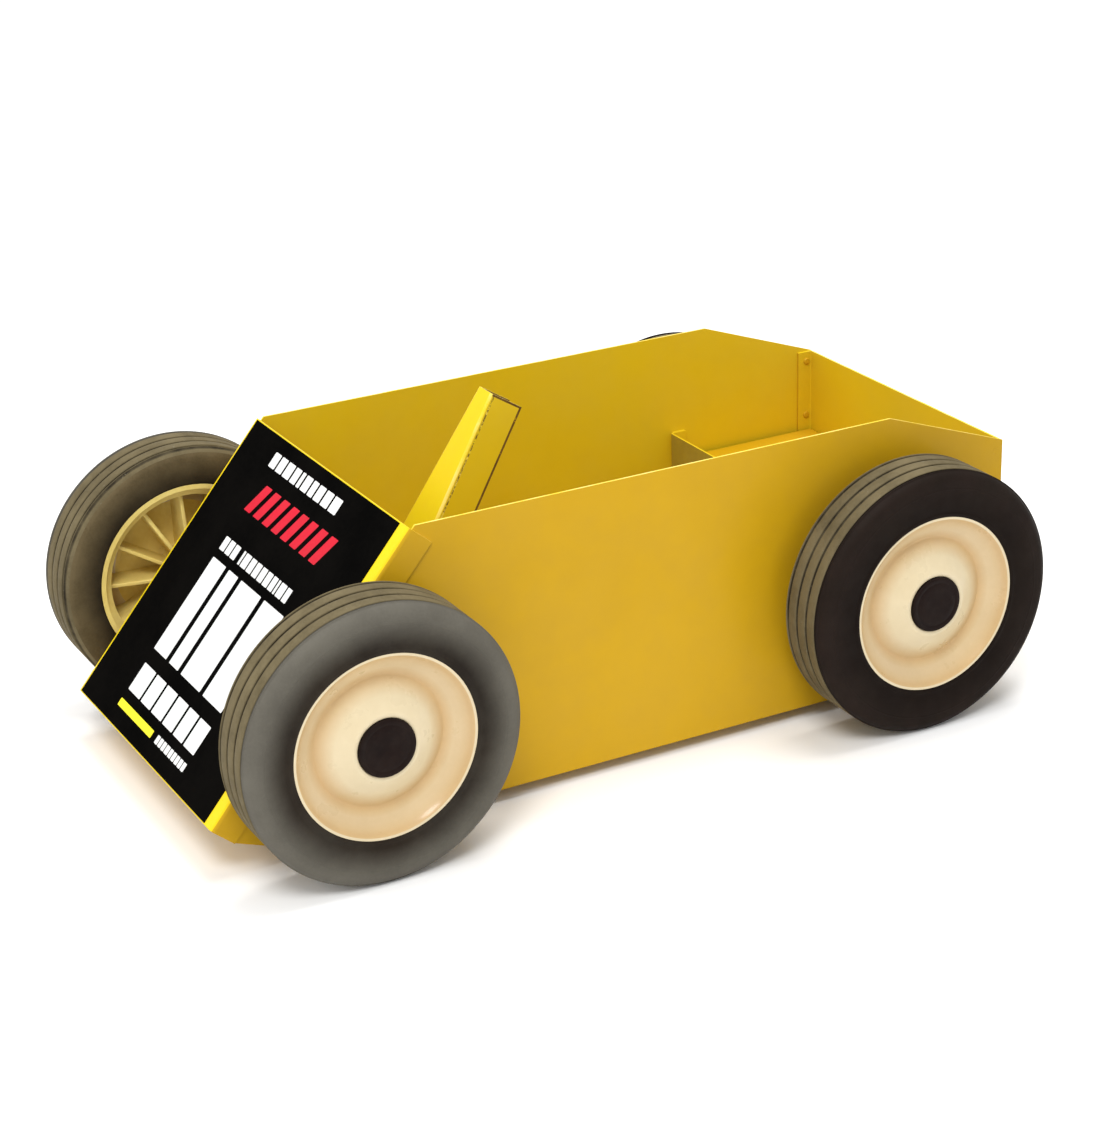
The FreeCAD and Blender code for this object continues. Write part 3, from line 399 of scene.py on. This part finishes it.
# ---- Bench work that several pieces share
def clear_selection():
    if bpy.context.mode != "OBJECT":
        bpy.ops.object.mode_set(mode="OBJECT")
    bpy.ops.object.select_all(action="DESELECT")


def take_up(piece):
    """Makes one piece the only selected and the active one."""
    clear_selection()
    piece.select_set(True)
    bpy.context.view_layer.objects.active = piece


def edit_all():
    """Opens the piece in hand for editing, with all of it selected."""
    bpy.ops.object.mode_set(mode="EDIT")
    bpy.ops.mesh.select_all(action="SELECT")


def soften(piece, width, segments=2):
    """Eases the sharp edges of a piece and shades it smooth between them."""
    take_up(piece)
    bevel = piece.modifiers.new("eased edges", "BEVEL")
    bevel.width = width
    bevel.segments = segments
    bevel.limit_method = "ANGLE"
    bevel.angle_limit = SHARP_ANGLE
    bpy.ops.object.modifier_apply(modifier=bevel.name)
    bpy.ops.object.shade_smooth_by_angle(angle=SHARP_ANGLE)
    flatten = piece.modifiers.new("flat faces", "WEIGHTED_NORMAL")
    flatten.keep_sharp = True
    flatten.weight = 80
    bpy.ops.object.modifier_apply(modifier=flatten.name)


def drawn_line(name, points):
    """An outline in the XZ plane drawn corner by corner from a plane that is merged to one point; mm."""
    clear_selection()
    bpy.ops.mesh.primitive_plane_add(size=MM)
    piece = bpy.context.active_object
    piece.name = name
    edit_all()
    bpy.ops.mesh.merge(type="CENTER")
    last = Vector((points[0][0], 0, points[0][1])) * MM
    bpy.ops.transform.translate(value=last)
    for x, z in points[1:] + points[:1]:
        place = Vector((x, 0, z)) * MM
        bpy.ops.mesh.extrude_region_move(TRANSFORM_OT_translate={"value": place - last})
        last = place
    bpy.ops.mesh.select_all(action="SELECT")
    bpy.ops.mesh.remove_doubles(threshold=0.001 * MM)
    return piece


def turned(name, outline, steps):
    """Draws an outline of (x, radius) points and spins it round the X axis."""
    piece = drawn_line(name, outline)
    bpy.ops.mesh.spin(steps=steps, angle=2 * math.pi, center=(0, 0, 0), axis=(1, 0, 0))
    bpy.ops.mesh.select_all(action="SELECT")
    bpy.ops.mesh.remove_doubles(threshold=0.001 * MM)
    bpy.ops.mesh.normals_make_consistent(inside=False)
    bpy.ops.object.mode_set(mode="OBJECT")
    return piece


def arc(x, r, radius, start, end, count):
    """Points on an arc round (x, r), angles in degrees from +x towards +r."""
    angles = [math.radians(start + (end - start) * i / count) for i in range(count + 1)]
    return [(x + radius * math.cos(a), r + radius * math.sin(a)) for a in angles]


def marked(piece, name, rule):
    """Writes an attribute from each point's (x, radius) in mm, for the finish to follow."""
    layer = piece.data.attributes.new(name, "FLOAT", "POINT")
    for point, value in zip(piece.data.vertices, layer.data):
        value.value = rule(point.co.x / MM, math.hypot(point.co.y, point.co.z) / MM)


def clamp(value):
    return max(0.0, min(1.0, value))


def joined(pieces, name):
    """Several pieces made one, under one name."""
    clear_selection()
    for piece in pieces:
        piece.select_set(True)
    bpy.context.view_layer.objects.active = pieces[0]
    if len(pieces) > 1:
        bpy.ops.object.join()
    whole = bpy.context.active_object
    whole.name = name
    return whole


def copied(piece, name, place):
    """A copy with a mesh of its own, set down by a matrix; a mirrored one has its faces turned back."""
    twin = piece.copy()
    twin.data = piece.data.copy()
    twin.name = name
    bpy.context.scene.collection.objects.link(twin)
    twin.data.transform(place)
    if place.determinant() < 0:
        twin.data.flip_normals()
    return twin


# ---- Sheet metal with eased edges
def is_cut_edge(mesh, face, sharp):
    """A long thin face that lies between two square corners: where the sheet was cut."""
    points = [mesh.vertices[i].co for i in face.vertices]
    around = sum((a - b).length for a, b in zip(points, points[1:] + points[:1]))
    if 2 * face.area / around > EDGE_WIDTH_LIMIT:
        return False
    edges = [key for key in face.edge_keys
             if (mesh.vertices[key[0]].co - mesh.vertices[key[1]].co).length > EDGE_LENGTH_LIMIT]
    return bool(edges) and all(key in sharp for key in edges)


def sharp_edges(mesh):
    """The edges where two faces meet at well over a bend's step."""
    normals = {}
    for face in mesh.polygons:
        for key in face.edge_keys:
            normals.setdefault(key, []).append(face.normal)
    return {key for key, pair in normals.items() if len(pair) == 2 and pair[0].dot(pair[1]) < SQUARE_TURN}


SHEET_PAINTS = (PAINT, CUT_EDGE_HIGHLIGHT, FRONT_LIT_PAINT, CHIPPED_EDGE_HIGHLIGHT, SEAM_SHADOW, INSIDE_LIT_PAINT, PARTITION_SHADE_PAINT)


def plain_sheet(middle, normal, cut):
    """Painted highlight where a cut edge looks up, a lighter olive copy of the paint, painted light, where a
    face looks into the box, mustard elsewhere.
    """
    if cut:
        return CUT_EDGE_HIGHLIGHT if normal.z > 0.3 else PAINT
    into_box = middle.x * normal.x < -PANEL_REACH or normal.y < -0.5 and middle.y > 0.3
    return INSIDE_LIT_PAINT if into_box else PAINT


def plate_sheet(middle, normal, cut):
    """The front plate: lemon in front, a painted front light, and a painted shadow line where its flanges end
    on the side panels.
    """
    if cut and normal.y > 0.5 and normal.z < -0.3:
        return SEAM_SHADOW
    if cut:
        return plain_sheet(middle, normal, cut)
    return FRONT_LIT_PAINT if normal.y < -0.5 else PAINT


def partition_sheet(middle, normal, cut):
    """The partition: darkened by painted shade in front, and in the lighter inside paint, painted light, over
    its edges.
    """
    return PARTITION_SHADE_PAINT if normal.y < -0.5 and not cut else INSIDE_LIT_PAINT


def channel_axes():
    """The channel's front foot, the way into it square to its front face, the way up it, and its length."""
    low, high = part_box("handle_channel")
    foot = Vector((0, low.y, low.z))
    inward = Vector((0, math.cos(CHANNEL_LEAN), -math.sin(CHANNEL_LEAN)))
    upward = Vector((0, math.sin(CHANNEL_LEAN), math.cos(CHANNEL_LEAN)))
    return foot, inward, upward, (high.z - low.z) / math.cos(CHANNEL_LEAN)


def channel_sheet(middle, normal, cut):
    """The handle channel: lemon in front, a painted front light; painted highlights on its bends and, flecked
    with dark chips, just behind them; painted shade lines on its edges.
    """
    foot, inward, upward, length = channel_axes()
    depth = (middle - foot).dot(inward)
    if cut:
        return CUT_EDGE_HIGHLIGHT if normal.z > 0.5 else SEAM_SHADOW
    if abs(normal.x) < 0.3:
        return FRONT_LIT_PAINT if normal.y < -0.5 else INSIDE_LIT_PAINT
    if abs(normal.x) < 0.97:
        return CUT_EDGE_HIGHLIGHT
    if depth > REAR_SHADE_BAND or (middle - foot).dot(upward) > length - TOP_SHADE_BAND:
        return SEAM_SHADOW
    return CHIPPED_EDGE_HIGHLIGHT if FRONT_HIGHLIGHT_START < depth < FRONT_HIGHLIGHT_END else INSIDE_LIT_PAINT


def scribed(planes):
    """Cuts the mesh in hand along planes, each (point, normal), so that a band of it can take other paint."""
    for place, normal in planes:
        bpy.ops.mesh.select_all(action="SELECT")
        bpy.ops.mesh.bisect(plane_co=place, plane_no=normal)


def channel_scribes():
    """The planes where the channel's bands of painted highlight and painted shade begin and end."""
    foot, inward, upward, length = channel_axes()
    bands = [(foot + inward * depth, inward) for depth in (FRONT_HIGHLIGHT_START, FRONT_HIGHLIGHT_END, REAR_SHADE_BAND)]
    return bands + [(foot + upward * (length - TOP_SHADE_BAND), upward)]


def taken_over(node, name):
    """A copy of a CAD node's mesh as a piece of its own, merged and open for editing."""
    original = frame["nodes"][node]
    piece = original.copy()
    piece.data = original.data.copy()
    piece.name = name
    piece.parent = None
    del piece["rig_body"]
    del piece["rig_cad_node"]
    bpy.context.scene.collection.objects.link(piece)
    take_up(piece)
    bpy.ops.mesh.customdata_custom_splitnormals_clear()
    edit_all()
    bpy.ops.mesh.remove_doubles(threshold=MERGE_GAP)
    return piece


def eased_sheet(node, choose, scribes=()):
    """A sheet metal node again, with its edges eased and each face in the paint that choose gives it."""
    piece = taken_over(node, node + "_sheet")
    bpy.ops.mesh.dissolve_limited(angle_limit=math.radians(0.5))
    scribed(scribes)
    bpy.ops.object.mode_set(mode="OBJECT")
    mesh = piece.data
    mesh.materials.clear()
    for paint in SHEET_PAINTS:
        mesh.materials.append(paint)
    sharp = sharp_edges(mesh)
    for face in mesh.polygons:
        paint = choose(face.center, face.normal, is_cut_edge(mesh, face, sharp))
        face.material_index = SHEET_PAINTS.index(paint)
    soften(piece, EASED_EDGE)
    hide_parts(node)
    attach(piece, "chassis")


def spring_wire():
    """The lever's torsion spring, hooked leg and coil, again as one smooth zinc piece."""
    piece = taken_over("lever_spring", "lever_spring_wire")
    bpy.ops.object.mode_set(mode="OBJECT")
    bpy.ops.object.shade_smooth_by_angle(angle=math.radians(40))
    for slot in piece.material_slots:
        slot.material = ZINC
    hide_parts("lever_spring")
    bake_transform(piece)


def sheet_metal():
    """The box and the channel, each sheet with its own rule for where its paints go."""
    for node in ("side_panel_left", "side_panel_right", "back_panel", "floor_pan", "can_shelf",
                 "handle_base_plate"):
        eased_sheet(node, plain_sheet)
    eased_sheet("front_plate", plate_sheet)
    eased_sheet("partition", partition_sheet)
    eased_sheet("handle_channel", channel_sheet, channel_scribes())


def foot_weld():
    """A bead of short overlapping ripples round the channel's foot, front and sides."""
    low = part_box("handle_channel")[0]
    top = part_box("handle_base_plate")[1].z
    sides = (-WELD_HALF_WIDTH, WELD_HALF_WIDTH)
    rear = low.y + WELD_DEPTH
    path = [(sides[0], rear), (sides[0], low.y), (sides[1], low.y), (sides[1], rear)]
    clear_selection()
    bpy.ops.mesh.primitive_uv_sphere_add(segments=12, ring_count=6, radius=WELD_BEAD)
    ripple = bpy.context.active_object
    edit_all()
    bpy.ops.transform.resize(value=(1.0, 1.0, 0.6), center_override=(0, 0, 0))
    bpy.ops.object.mode_set(mode="OBJECT")
    random.seed(4)
    ripples = []
    for (x0, y0), (x1, y1) in zip(path, path[1:]):
        run = math.hypot(x1 - x0, y1 - y0)
        count = round(run / (WELD_BEAD * 0.9))
        for i in range(count):
            along = i / count
            place = Vector((x0 + (x1 - x0) * along, y0 + (y1 - y0) * along, top + 0.4 * MM))
            swell = Matrix.Scale(random.uniform(0.88, 1.12), 4)
            ripples.append(copied(ripple, "ripple", Matrix.Translation(place) @ swell))
    bpy.data.objects.remove(ripple)
    weld = joined(ripples, "channel_foot_weld")
    weld.data.materials.clear()
    weld.data.materials.append(WELD)
    take_up(weld)
    bpy.ops.object.shade_smooth()
    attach(weld, "chassis")


# ---- Label
def label_frame():
    """The matrix that sets a flat print down on the label's outer face, from its lower corner."""
    low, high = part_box("front_label")
    run = high.y - low.y
    rise = high.z - low.z
    rough_lean = math.atan2(run, rise)
    lean = math.atan2(run - math.cos(rough_lean) * LABEL_FILM, rise - math.sin(rough_lean) * LABEL_FILM)
    up = Vector((0, math.sin(lean), math.cos(lean)))
    out = X.cross(up)
    corner = Vector((low.x, low.y, low.z + up.y * LABEL_FILM))
    turn = Matrix((X, up, out)).transposed().to_4x4()
    return Matrix.Translation(corner) @ turn


def printed(name, blocks, ink, place):
    """Flat blocks of ink, each (left, bottom, width, height, slant) in mm, with rounded corners."""
    clear_selection()
    bpy.ops.mesh.primitive_plane_add(size=MM)
    piece = bpy.context.active_object
    piece.name = name
    edit_all()
    bpy.ops.mesh.delete(type="VERT")
    for left, bottom, width, height, slant in blocks:
        middle = Vector((left + width / 2, bottom + height / 2, 0)) * MM
        bpy.ops.mesh.primitive_plane_add(size=MM, location=middle)
        bpy.ops.transform.resize(value=(width, height, 1), center_override=middle)
        corner = min(PRINT_CORNER, 0.15 * min(width, height)) * MM
        bpy.ops.mesh.bevel(offset=corner, segments=3, affect="VERTICES")
        if slant:
            bpy.ops.object.mode_set(mode="OBJECT")
            for point in piece.data.vertices:
                if point.select:
                    point.co.x += (point.co.y - bottom * MM) * slant
            bpy.ops.object.mode_set(mode="EDIT")
        bpy.ops.mesh.select_all(action="DESELECT")
    bpy.ops.mesh.select_all(action="SELECT")
    bpy.ops.mesh.extrude_region_move(TRANSFORM_OT_translate={"value": (0, 0, INK)})
    bpy.ops.mesh.select_all(action="SELECT")
    bpy.ops.mesh.normals_make_consistent(inside=False)
    bpy.ops.object.mode_set(mode="OBJECT")
    piece.data.transform(place)
    piece.data.materials.clear()
    piece.data.materials.append(ink)
    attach(piece, "chassis")
    return piece


def row(left, bottom, height, gap, widths):
    """A row of upright blocks; a negative width is a space."""
    blocks = []
    for width in widths:
        if width > 0:
            blocks.append((left, bottom, width, height, 0.0))
        left += abs(width) + gap
    return blocks


def label_print():
    """Plain bars stand where a maker would print words; a barricade band and a lane bar give it colour."""
    place = label_frame()
    white = row(52, 219, 12, 2.4, (10, 10, 11, 9, 5, 10, 8, 10, 11, 12))
    white += row(58, 149, 11, 1.8, (8, 8, 8, -3, 3, 9, 8, 8, 8, 8, 7, 3, 9, 7))
    white += row(58, 62, 80, 6.0, (24, 17, 36, 34))
    white += row(59, 27, 23, 3.0, (22, 18, 19, 18, 17, 19))
    white += row(132, 13, 6.5, 1.1, (5, 5, 5, 6, 5, 5, 5, 5, 5))
    printed("label_white_bars", white, WHITE_INK, place)
    stripes = [(57 + i * 16.5, 183, 10.5, 24, 0.42) for i in range(8)]
    printed("label_barricade_band", stripes, RED_INK, place)
    printed("label_lane_bar", [(58, 13, 66, 6, 0.0)], YELLOW_INK, place)


# ---- Wheels, modelled once about X with x = 0 at the tyre's inner plane
def seat_line(gap):
    """The line where tyre and rim meet, raised by a gap."""
    low = TYRE_WIDTH / 4
    high = TYRE_WIDTH - low
    return [
        (0.0, INNER_RIM_RADIUS + gap),
        (3.0, INNER_RIM_RADIUS + gap),
        (6.0, RIM_RADIUS + gap),
        (low, RIM_RADIUS + gap),
        (low + BEAD_GROOVE, RIM_RADIUS - BEAD_GROOVE + gap),
        (high - BEAD_GROOVE, RIM_RADIUS - BEAD_GROOVE + gap),
        (high, RIM_RADIUS + gap),
        (RIM_FACE, RIM_RADIUS + gap),
    ]


def outer_wall():
    """The sidewall from the bead to the shoulder: a bead ring, a soft crown and a moulding line."""
    return [
        (49.5, 67.35), (49.95, 67.9), (50.2, 68.8), (50.25, 69.8), (49.95, 70.5), (49.85, 71.2),
        (50.05, 73.0), (50.3, 76.0), (50.5, 79.0), (50.65, 82.0), (50.72, 85.0), (50.7, 87.4),
        (50.62, 88.0), (50.74, 88.3), (50.74, 88.9), (50.58, 89.2), (50.5, 90.0),
    ]


def tread_line():
    """The tread from the outer shoulder to the inner one, with its rounded ribs and grooves."""
    pitch = (TYRE_WIDTH - 2 * SHOULDER) / (GROOVES - 1)
    shoulder = WHEEL_RADIUS - SHOULDER_CENTRE
    crown = WHEEL_RADIUS - 0.75
    root = WHEEL_RADIUS - GROOVE_DEPTH + GROOVE_ROOT
    line = arc(TYRE_WIDTH - SHOULDER_CENTRE, shoulder, SHOULDER_RADIUS, 14, 66, 7)
    for i in reversed(range(GROOVES)):
        middle = SHOULDER + i * pitch
        outer = middle + GROOVE_HALF
        inner = middle - GROOVE_HALF
        line += arc(outer + RIB_CROWN, crown, RIB_CROWN, 90, 180, 3)
        line += arc(outer - GROOVE_ROOT, root, GROOVE_ROOT, 0, -90, 2)
        line += arc(inner + GROOVE_ROOT, root, GROOVE_ROOT, -90, -180, 2)
        line += arc(inner - RIB_CROWN, crown, RIB_CROWN, 0, 90, 3)
        if i:
            line.append((middle - pitch / 2, WHEEL_RADIUS))
    line += arc(SHOULDER_CENTRE, shoulder, SHOULDER_RADIUS, 114, 166, 7)
    return line


def inner_wall():
    """The plainer sidewall on the machine's side."""
    return [(0.25, 90.0), (0.05, 86.0), (0.0, 82.0), (0.1, 78.0), (0.35, 75.0), (0.2, 74.0)]


def tyre():
    """A solid ribbed tyre, marked where its crown takes painted sheen with dust, and where its grooves are.
    """
    line = seat_line(SEAT_GAP)[1:] + outer_wall() + tread_line() + inner_wall()
    line.append((0.6, INNER_RIM_RADIUS + SEAT_GAP))
    piece = turned("tyre", line, TYRE_STEPS)
    take_up(piece)
    bpy.ops.object.shade_smooth_by_angle(angle=math.radians(50))
    # The crown mark lightens the sidewall towards its shoulder: painted sheen with dust.
    marked(piece, "crown", lambda x, r: clamp((r - CROWN_START) / CROWN_RUN) ** 1.2)
    marked(piece, "groove", lambda x, r: 1.0 if WHEEL_RADIUS - 2.0 < r < WHEEL_RADIUS - 0.8 else 0.0)
    return piece


def dress_tyre(piece, wall, place):
    """Tread rubber on the running surface, the wall's rubber outside and grimy rubber inside."""
    for rubber in (wall, TREAD, INNER_WALL):
        piece.data.materials.append(rubber)
    back = place.inverted()
    for face in piece.data.polygons:
        x, y, z = back @ face.center / MM
        running = math.hypot(y, z) > WHEEL_RADIUS - TREAD_DROP and x < TYRE_WIDTH - SHOULDER - GROOVE_HALF
        face.material_index = 1 if running else 0 if x > TYRE_WIDTH / 2 else 2


def dress_hub(piece, place):
    """Cream outside; behind the web and between the ribs a brighter yellow copy of it, painted light on the
    shaded inner side.
    """
    for plastic in (CREAM, INNER_CREAM_LIT):
        piece.data.materials.append(plastic)
    back = place.inverted()
    for face in piece.data.polygons:
        x, y, z = back @ face.center / MM
        outside = x > WEB_FACE or math.hypot(y, z) < BORE_RADIUS
        face.material_index = 0 if outside and x > WEB_BACK else 1


def hub():
    """A cream moulded hub: rolled rim lip, dished web that rises again to the boss, ribs behind."""
    front = [(RIM_FACE - 0.1, 66.6), (RIM_FACE, 66.2), (RIM_FACE, 65.5), (RIM_FACE - 0.35, 64.9)]
    front += [(47.2, 63.5), (44.9, 60.9), (42.4, 57.8), (39.9, 54.3), (37.9, 51.0), (36.7, 48.6)]
    front += [(36.35, VALLEY_RADIUS), (36.7, 46.6), (38.6, 43.0), (40.9, 39.0), (43.1, 35.2), (45.2, 31.4)]
    front += [(47.0, 27.6), (48.3, 25.2), (48.7, 24.3), (48.75, 23.6), (48.75, 22.0), (48.5, 21.3)]
    front += [(47.9, CAP_RADIUS)]
    front += [(CAP_SEAT, CAP_RADIUS), (CAP_SEAT, BORE_RADIUS)]
    back = [
        (-2.0, BORE_RADIUS), (-2.0, 15.0), (31.0, 15.0), (32.3, 16.6), (32.85, 45.6), (32.85, 50.6),
        (42.0, 63.2), (6.5, 63.2), (3.5, 69.5), (0.0, 69.5),
    ]
    shell = turned("hub", front + back + seat_line(0.0), HUB_STEPS)
    take_up(shell)
    bpy.ops.object.shade_smooth_by_angle(angle=math.radians(50))
    rib = drawn_line("rib", [(2.0, 14.0), (12.7, 64.2), (42.4, 64.2), (34.6, 49.6), (34.6, 14.0)])
    bpy.ops.mesh.edge_face_add()
    bpy.ops.transform.translate(value=(0, -RIB_THICK / 2 * MM, 0))
    bpy.ops.mesh.extrude_region_move(TRANSFORM_OT_translate={"value": (0, RIB_THICK * MM, 0)})
    bpy.ops.mesh.select_all(action="SELECT")
    bpy.ops.mesh.normals_make_consistent(inside=False)
    bpy.ops.object.mode_set(mode="OBJECT")
    soften(rib, 0.9 * MM, 3)
    ribs = [copied(rib, "rib", Matrix.Rotation(2 * math.pi * i / RIBS, 4, "X")) for i in range(RIBS)]
    bpy.data.objects.remove(rib)
    piece = joined([shell] + ribs, "hub")
    take_up(piece)
    bpy.ops.object.shade_smooth_by_angle(angle=math.radians(50))
    # The dish mark carries painted shade for the dish's valley and the rim.
    marked(piece, "dish", dish_shade_amount)
    return piece


def dish_shade_amount(x, r):
    """How much painted shade a point of the hub's outer face takes: most in the valley of the dish and under
    the rim.
    """
    if x < WEB_FACE or r < DOME_START or r > RIM_INNER_EDGE:
        return 0.0
    valley = 1.0 - clamp(abs(r - VALLEY_RADIUS) / VALLEY_REACH)
    return 0.70 * valley + 0.60 * clamp((r - RIM_SHADE_START) / RIM_SHADE_RUN)


def axle_cap():
    """A shallow black cup with a rolled edge, a faint ring and a slightly sunk middle."""
    face = CAP_SEAT + CAP_DEPTH
    foot = CAP_SEAT + 0.05
    edge = CAP_RADIUS - SEAT_GAP
    line = [(foot, edge), (face - CAP_EDGE, edge)]
    line += arc(face - CAP_EDGE, edge - CAP_EDGE, CAP_EDGE, 90, 0, 5)[1:]
    line += [(face - 0.05, 17.6), (face - 0.35, 17.1), (face - 0.4, 16.3), (face - 0.1, 15.7)]
    line += [(face - 0.08, 12.0), (face - 0.2, 7.0), (face - 0.28, 3.0), (face - 0.3, 0.0)]
    line += [(face - 1.7, 0.0), (face - 1.7, 19.0), (foot, 19.4)]
    piece = turned("cap", line, CAP_STEPS)
    take_up(piece)
    bpy.ops.object.shade_smooth_by_angle(angle=math.radians(40))
    return piece


def wheels():
    """The three mouldings of a wheel are made once and copied to the four corners."""
    patterns = {"tyre": tyre(), "hub": hub(), "axle_cap": axle_cap()}
    for corner in ("front_left", "front_right", "rear_left", "rear_right"):
        low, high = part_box("tyre_" + corner)
        left = low.x > 0
        place = Matrix.Translation((low.x if left else high.x, (low.y + high.y) / 2, (low.z + high.z) / 2))
        if not left:
            place = place @ Matrix.Scale(-1, 4, X)
        for kind, pattern in patterns.items():
            piece = copied(pattern, kind + "_" + corner + "_moulding", place)
            node = kind + "_" + corner
            if kind == "tyre":
                # Front sidewalls take the rubber with painted sheen, rear ones the plain dark rubber.
                dress_tyre(piece, FRONT_WALL_SHEEN if corner.startswith("front") else REAR_WALL, place)
            elif kind == "hub":
                dress_hub(piece, place)
            else:
                piece.data.materials.append(CAP_BLACK)
            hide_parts(node)
            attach(piece, "wheel_" + corner)
    for pattern in patterns.values():
        bpy.data.objects.remove(pattern)


# ---- Studio
def camera():
    """The camera's axes come from its azimuth, rise and roll."""
    back = Vector((math.sin(CAMERA_AZIMUTH) * math.cos(CAMERA_RISE),
                   -math.cos(CAMERA_AZIMUTH) * math.cos(CAMERA_RISE), math.sin(CAMERA_RISE)))
    level = Vector((math.cos(CAMERA_AZIMUTH), math.sin(CAMERA_AZIMUTH), 0))
    upright = back.cross(level)
    right = level * math.cos(CAMERA_ROLL) + upright * math.sin(CAMERA_ROLL)
    up = upright * math.cos(CAMERA_ROLL) - level * math.sin(CAMERA_ROLL)
    data = bpy.data.cameras.new("studio_camera")
    data.lens = CAMERA_LENS
    data.sensor_width = 36.0
    data.sensor_fit = "AUTO"
    data.clip_start = 0.05
    data.clip_end = 100.0
    eye = bpy.data.objects.new("studio_camera", data)
    eye.matrix_world = Matrix.Translation(CAMERA_PLACE) @ Matrix((right, up, back)).transposed().to_4x4()
    bpy.context.scene.collection.objects.link(eye)
    bpy.context.scene.camera = eye


def soft_light(name, place, size, power):
    """A round white soft box that looks at the machine's middle."""
    data = bpy.data.lights.new(name, "AREA")
    data.shape = "DISK"
    data.size = size
    data.energy = power
    light = bpy.data.objects.new(name, data)
    light.location = place
    light.rotation_euler = (Vector(place) - Vector((0, 0, 0.1))).to_track_quat("Z", "Y").to_euler()
    bpy.context.scene.collection.objects.link(light)


def studio():
    """Camera, four soft boxes, white air and a pale floor."""
    camera()
    soft_light("key_light", (1.7, -1.2, 2.7), 1.2, 52.0)
    soft_light("front_light", (-0.8, -2.6, 1.5), 1.6, 20.0)
    soft_light("top_light", (0.0, 0.5, 3.0), 1.8, 48.0)
    soft_light("far_light", (-2.6, 1.0, 1.9), 2.2, 16.0)
    world = bpy.data.worlds.new("studio_air")
    world.use_nodes = True
    world.node_tree.nodes["Background"].inputs["Color"].default_value = (1.0, 1.0, 1.0, 1)
    world.node_tree.nodes["Background"].inputs["Strength"].default_value = 0.72
    bpy.context.scene.world = world
    bpy.context.scene.view_settings.view_transform = "Standard"
    clear_selection()
    bpy.ops.mesh.primitive_grid_add(x_subdivisions=24, y_subdivisions=24, size=24.0,
                                    location=(0, 0, -0.5 * MM))
    floor = bpy.context.active_object
    floor.name = "studio_floor"
    floor.data.transform(floor.matrix_world)
    floor.matrix_world = Matrix.Identity(4)
    floor.data.materials.append(FLOOR)


def carried_over_finishes():
    """Every CAD piece takes the finish of its own slot."""
    for piece in frame["nodes"].values():
        for slot in piece.material_slots:
            slot.material = SLOT_FINISHES[slot.material.name.split(".")[0]]


studio()
carried_over_finishes()
sheet_metal()
spring_wire()
foot_weld()
label_print()
wheels()
clear_selection()
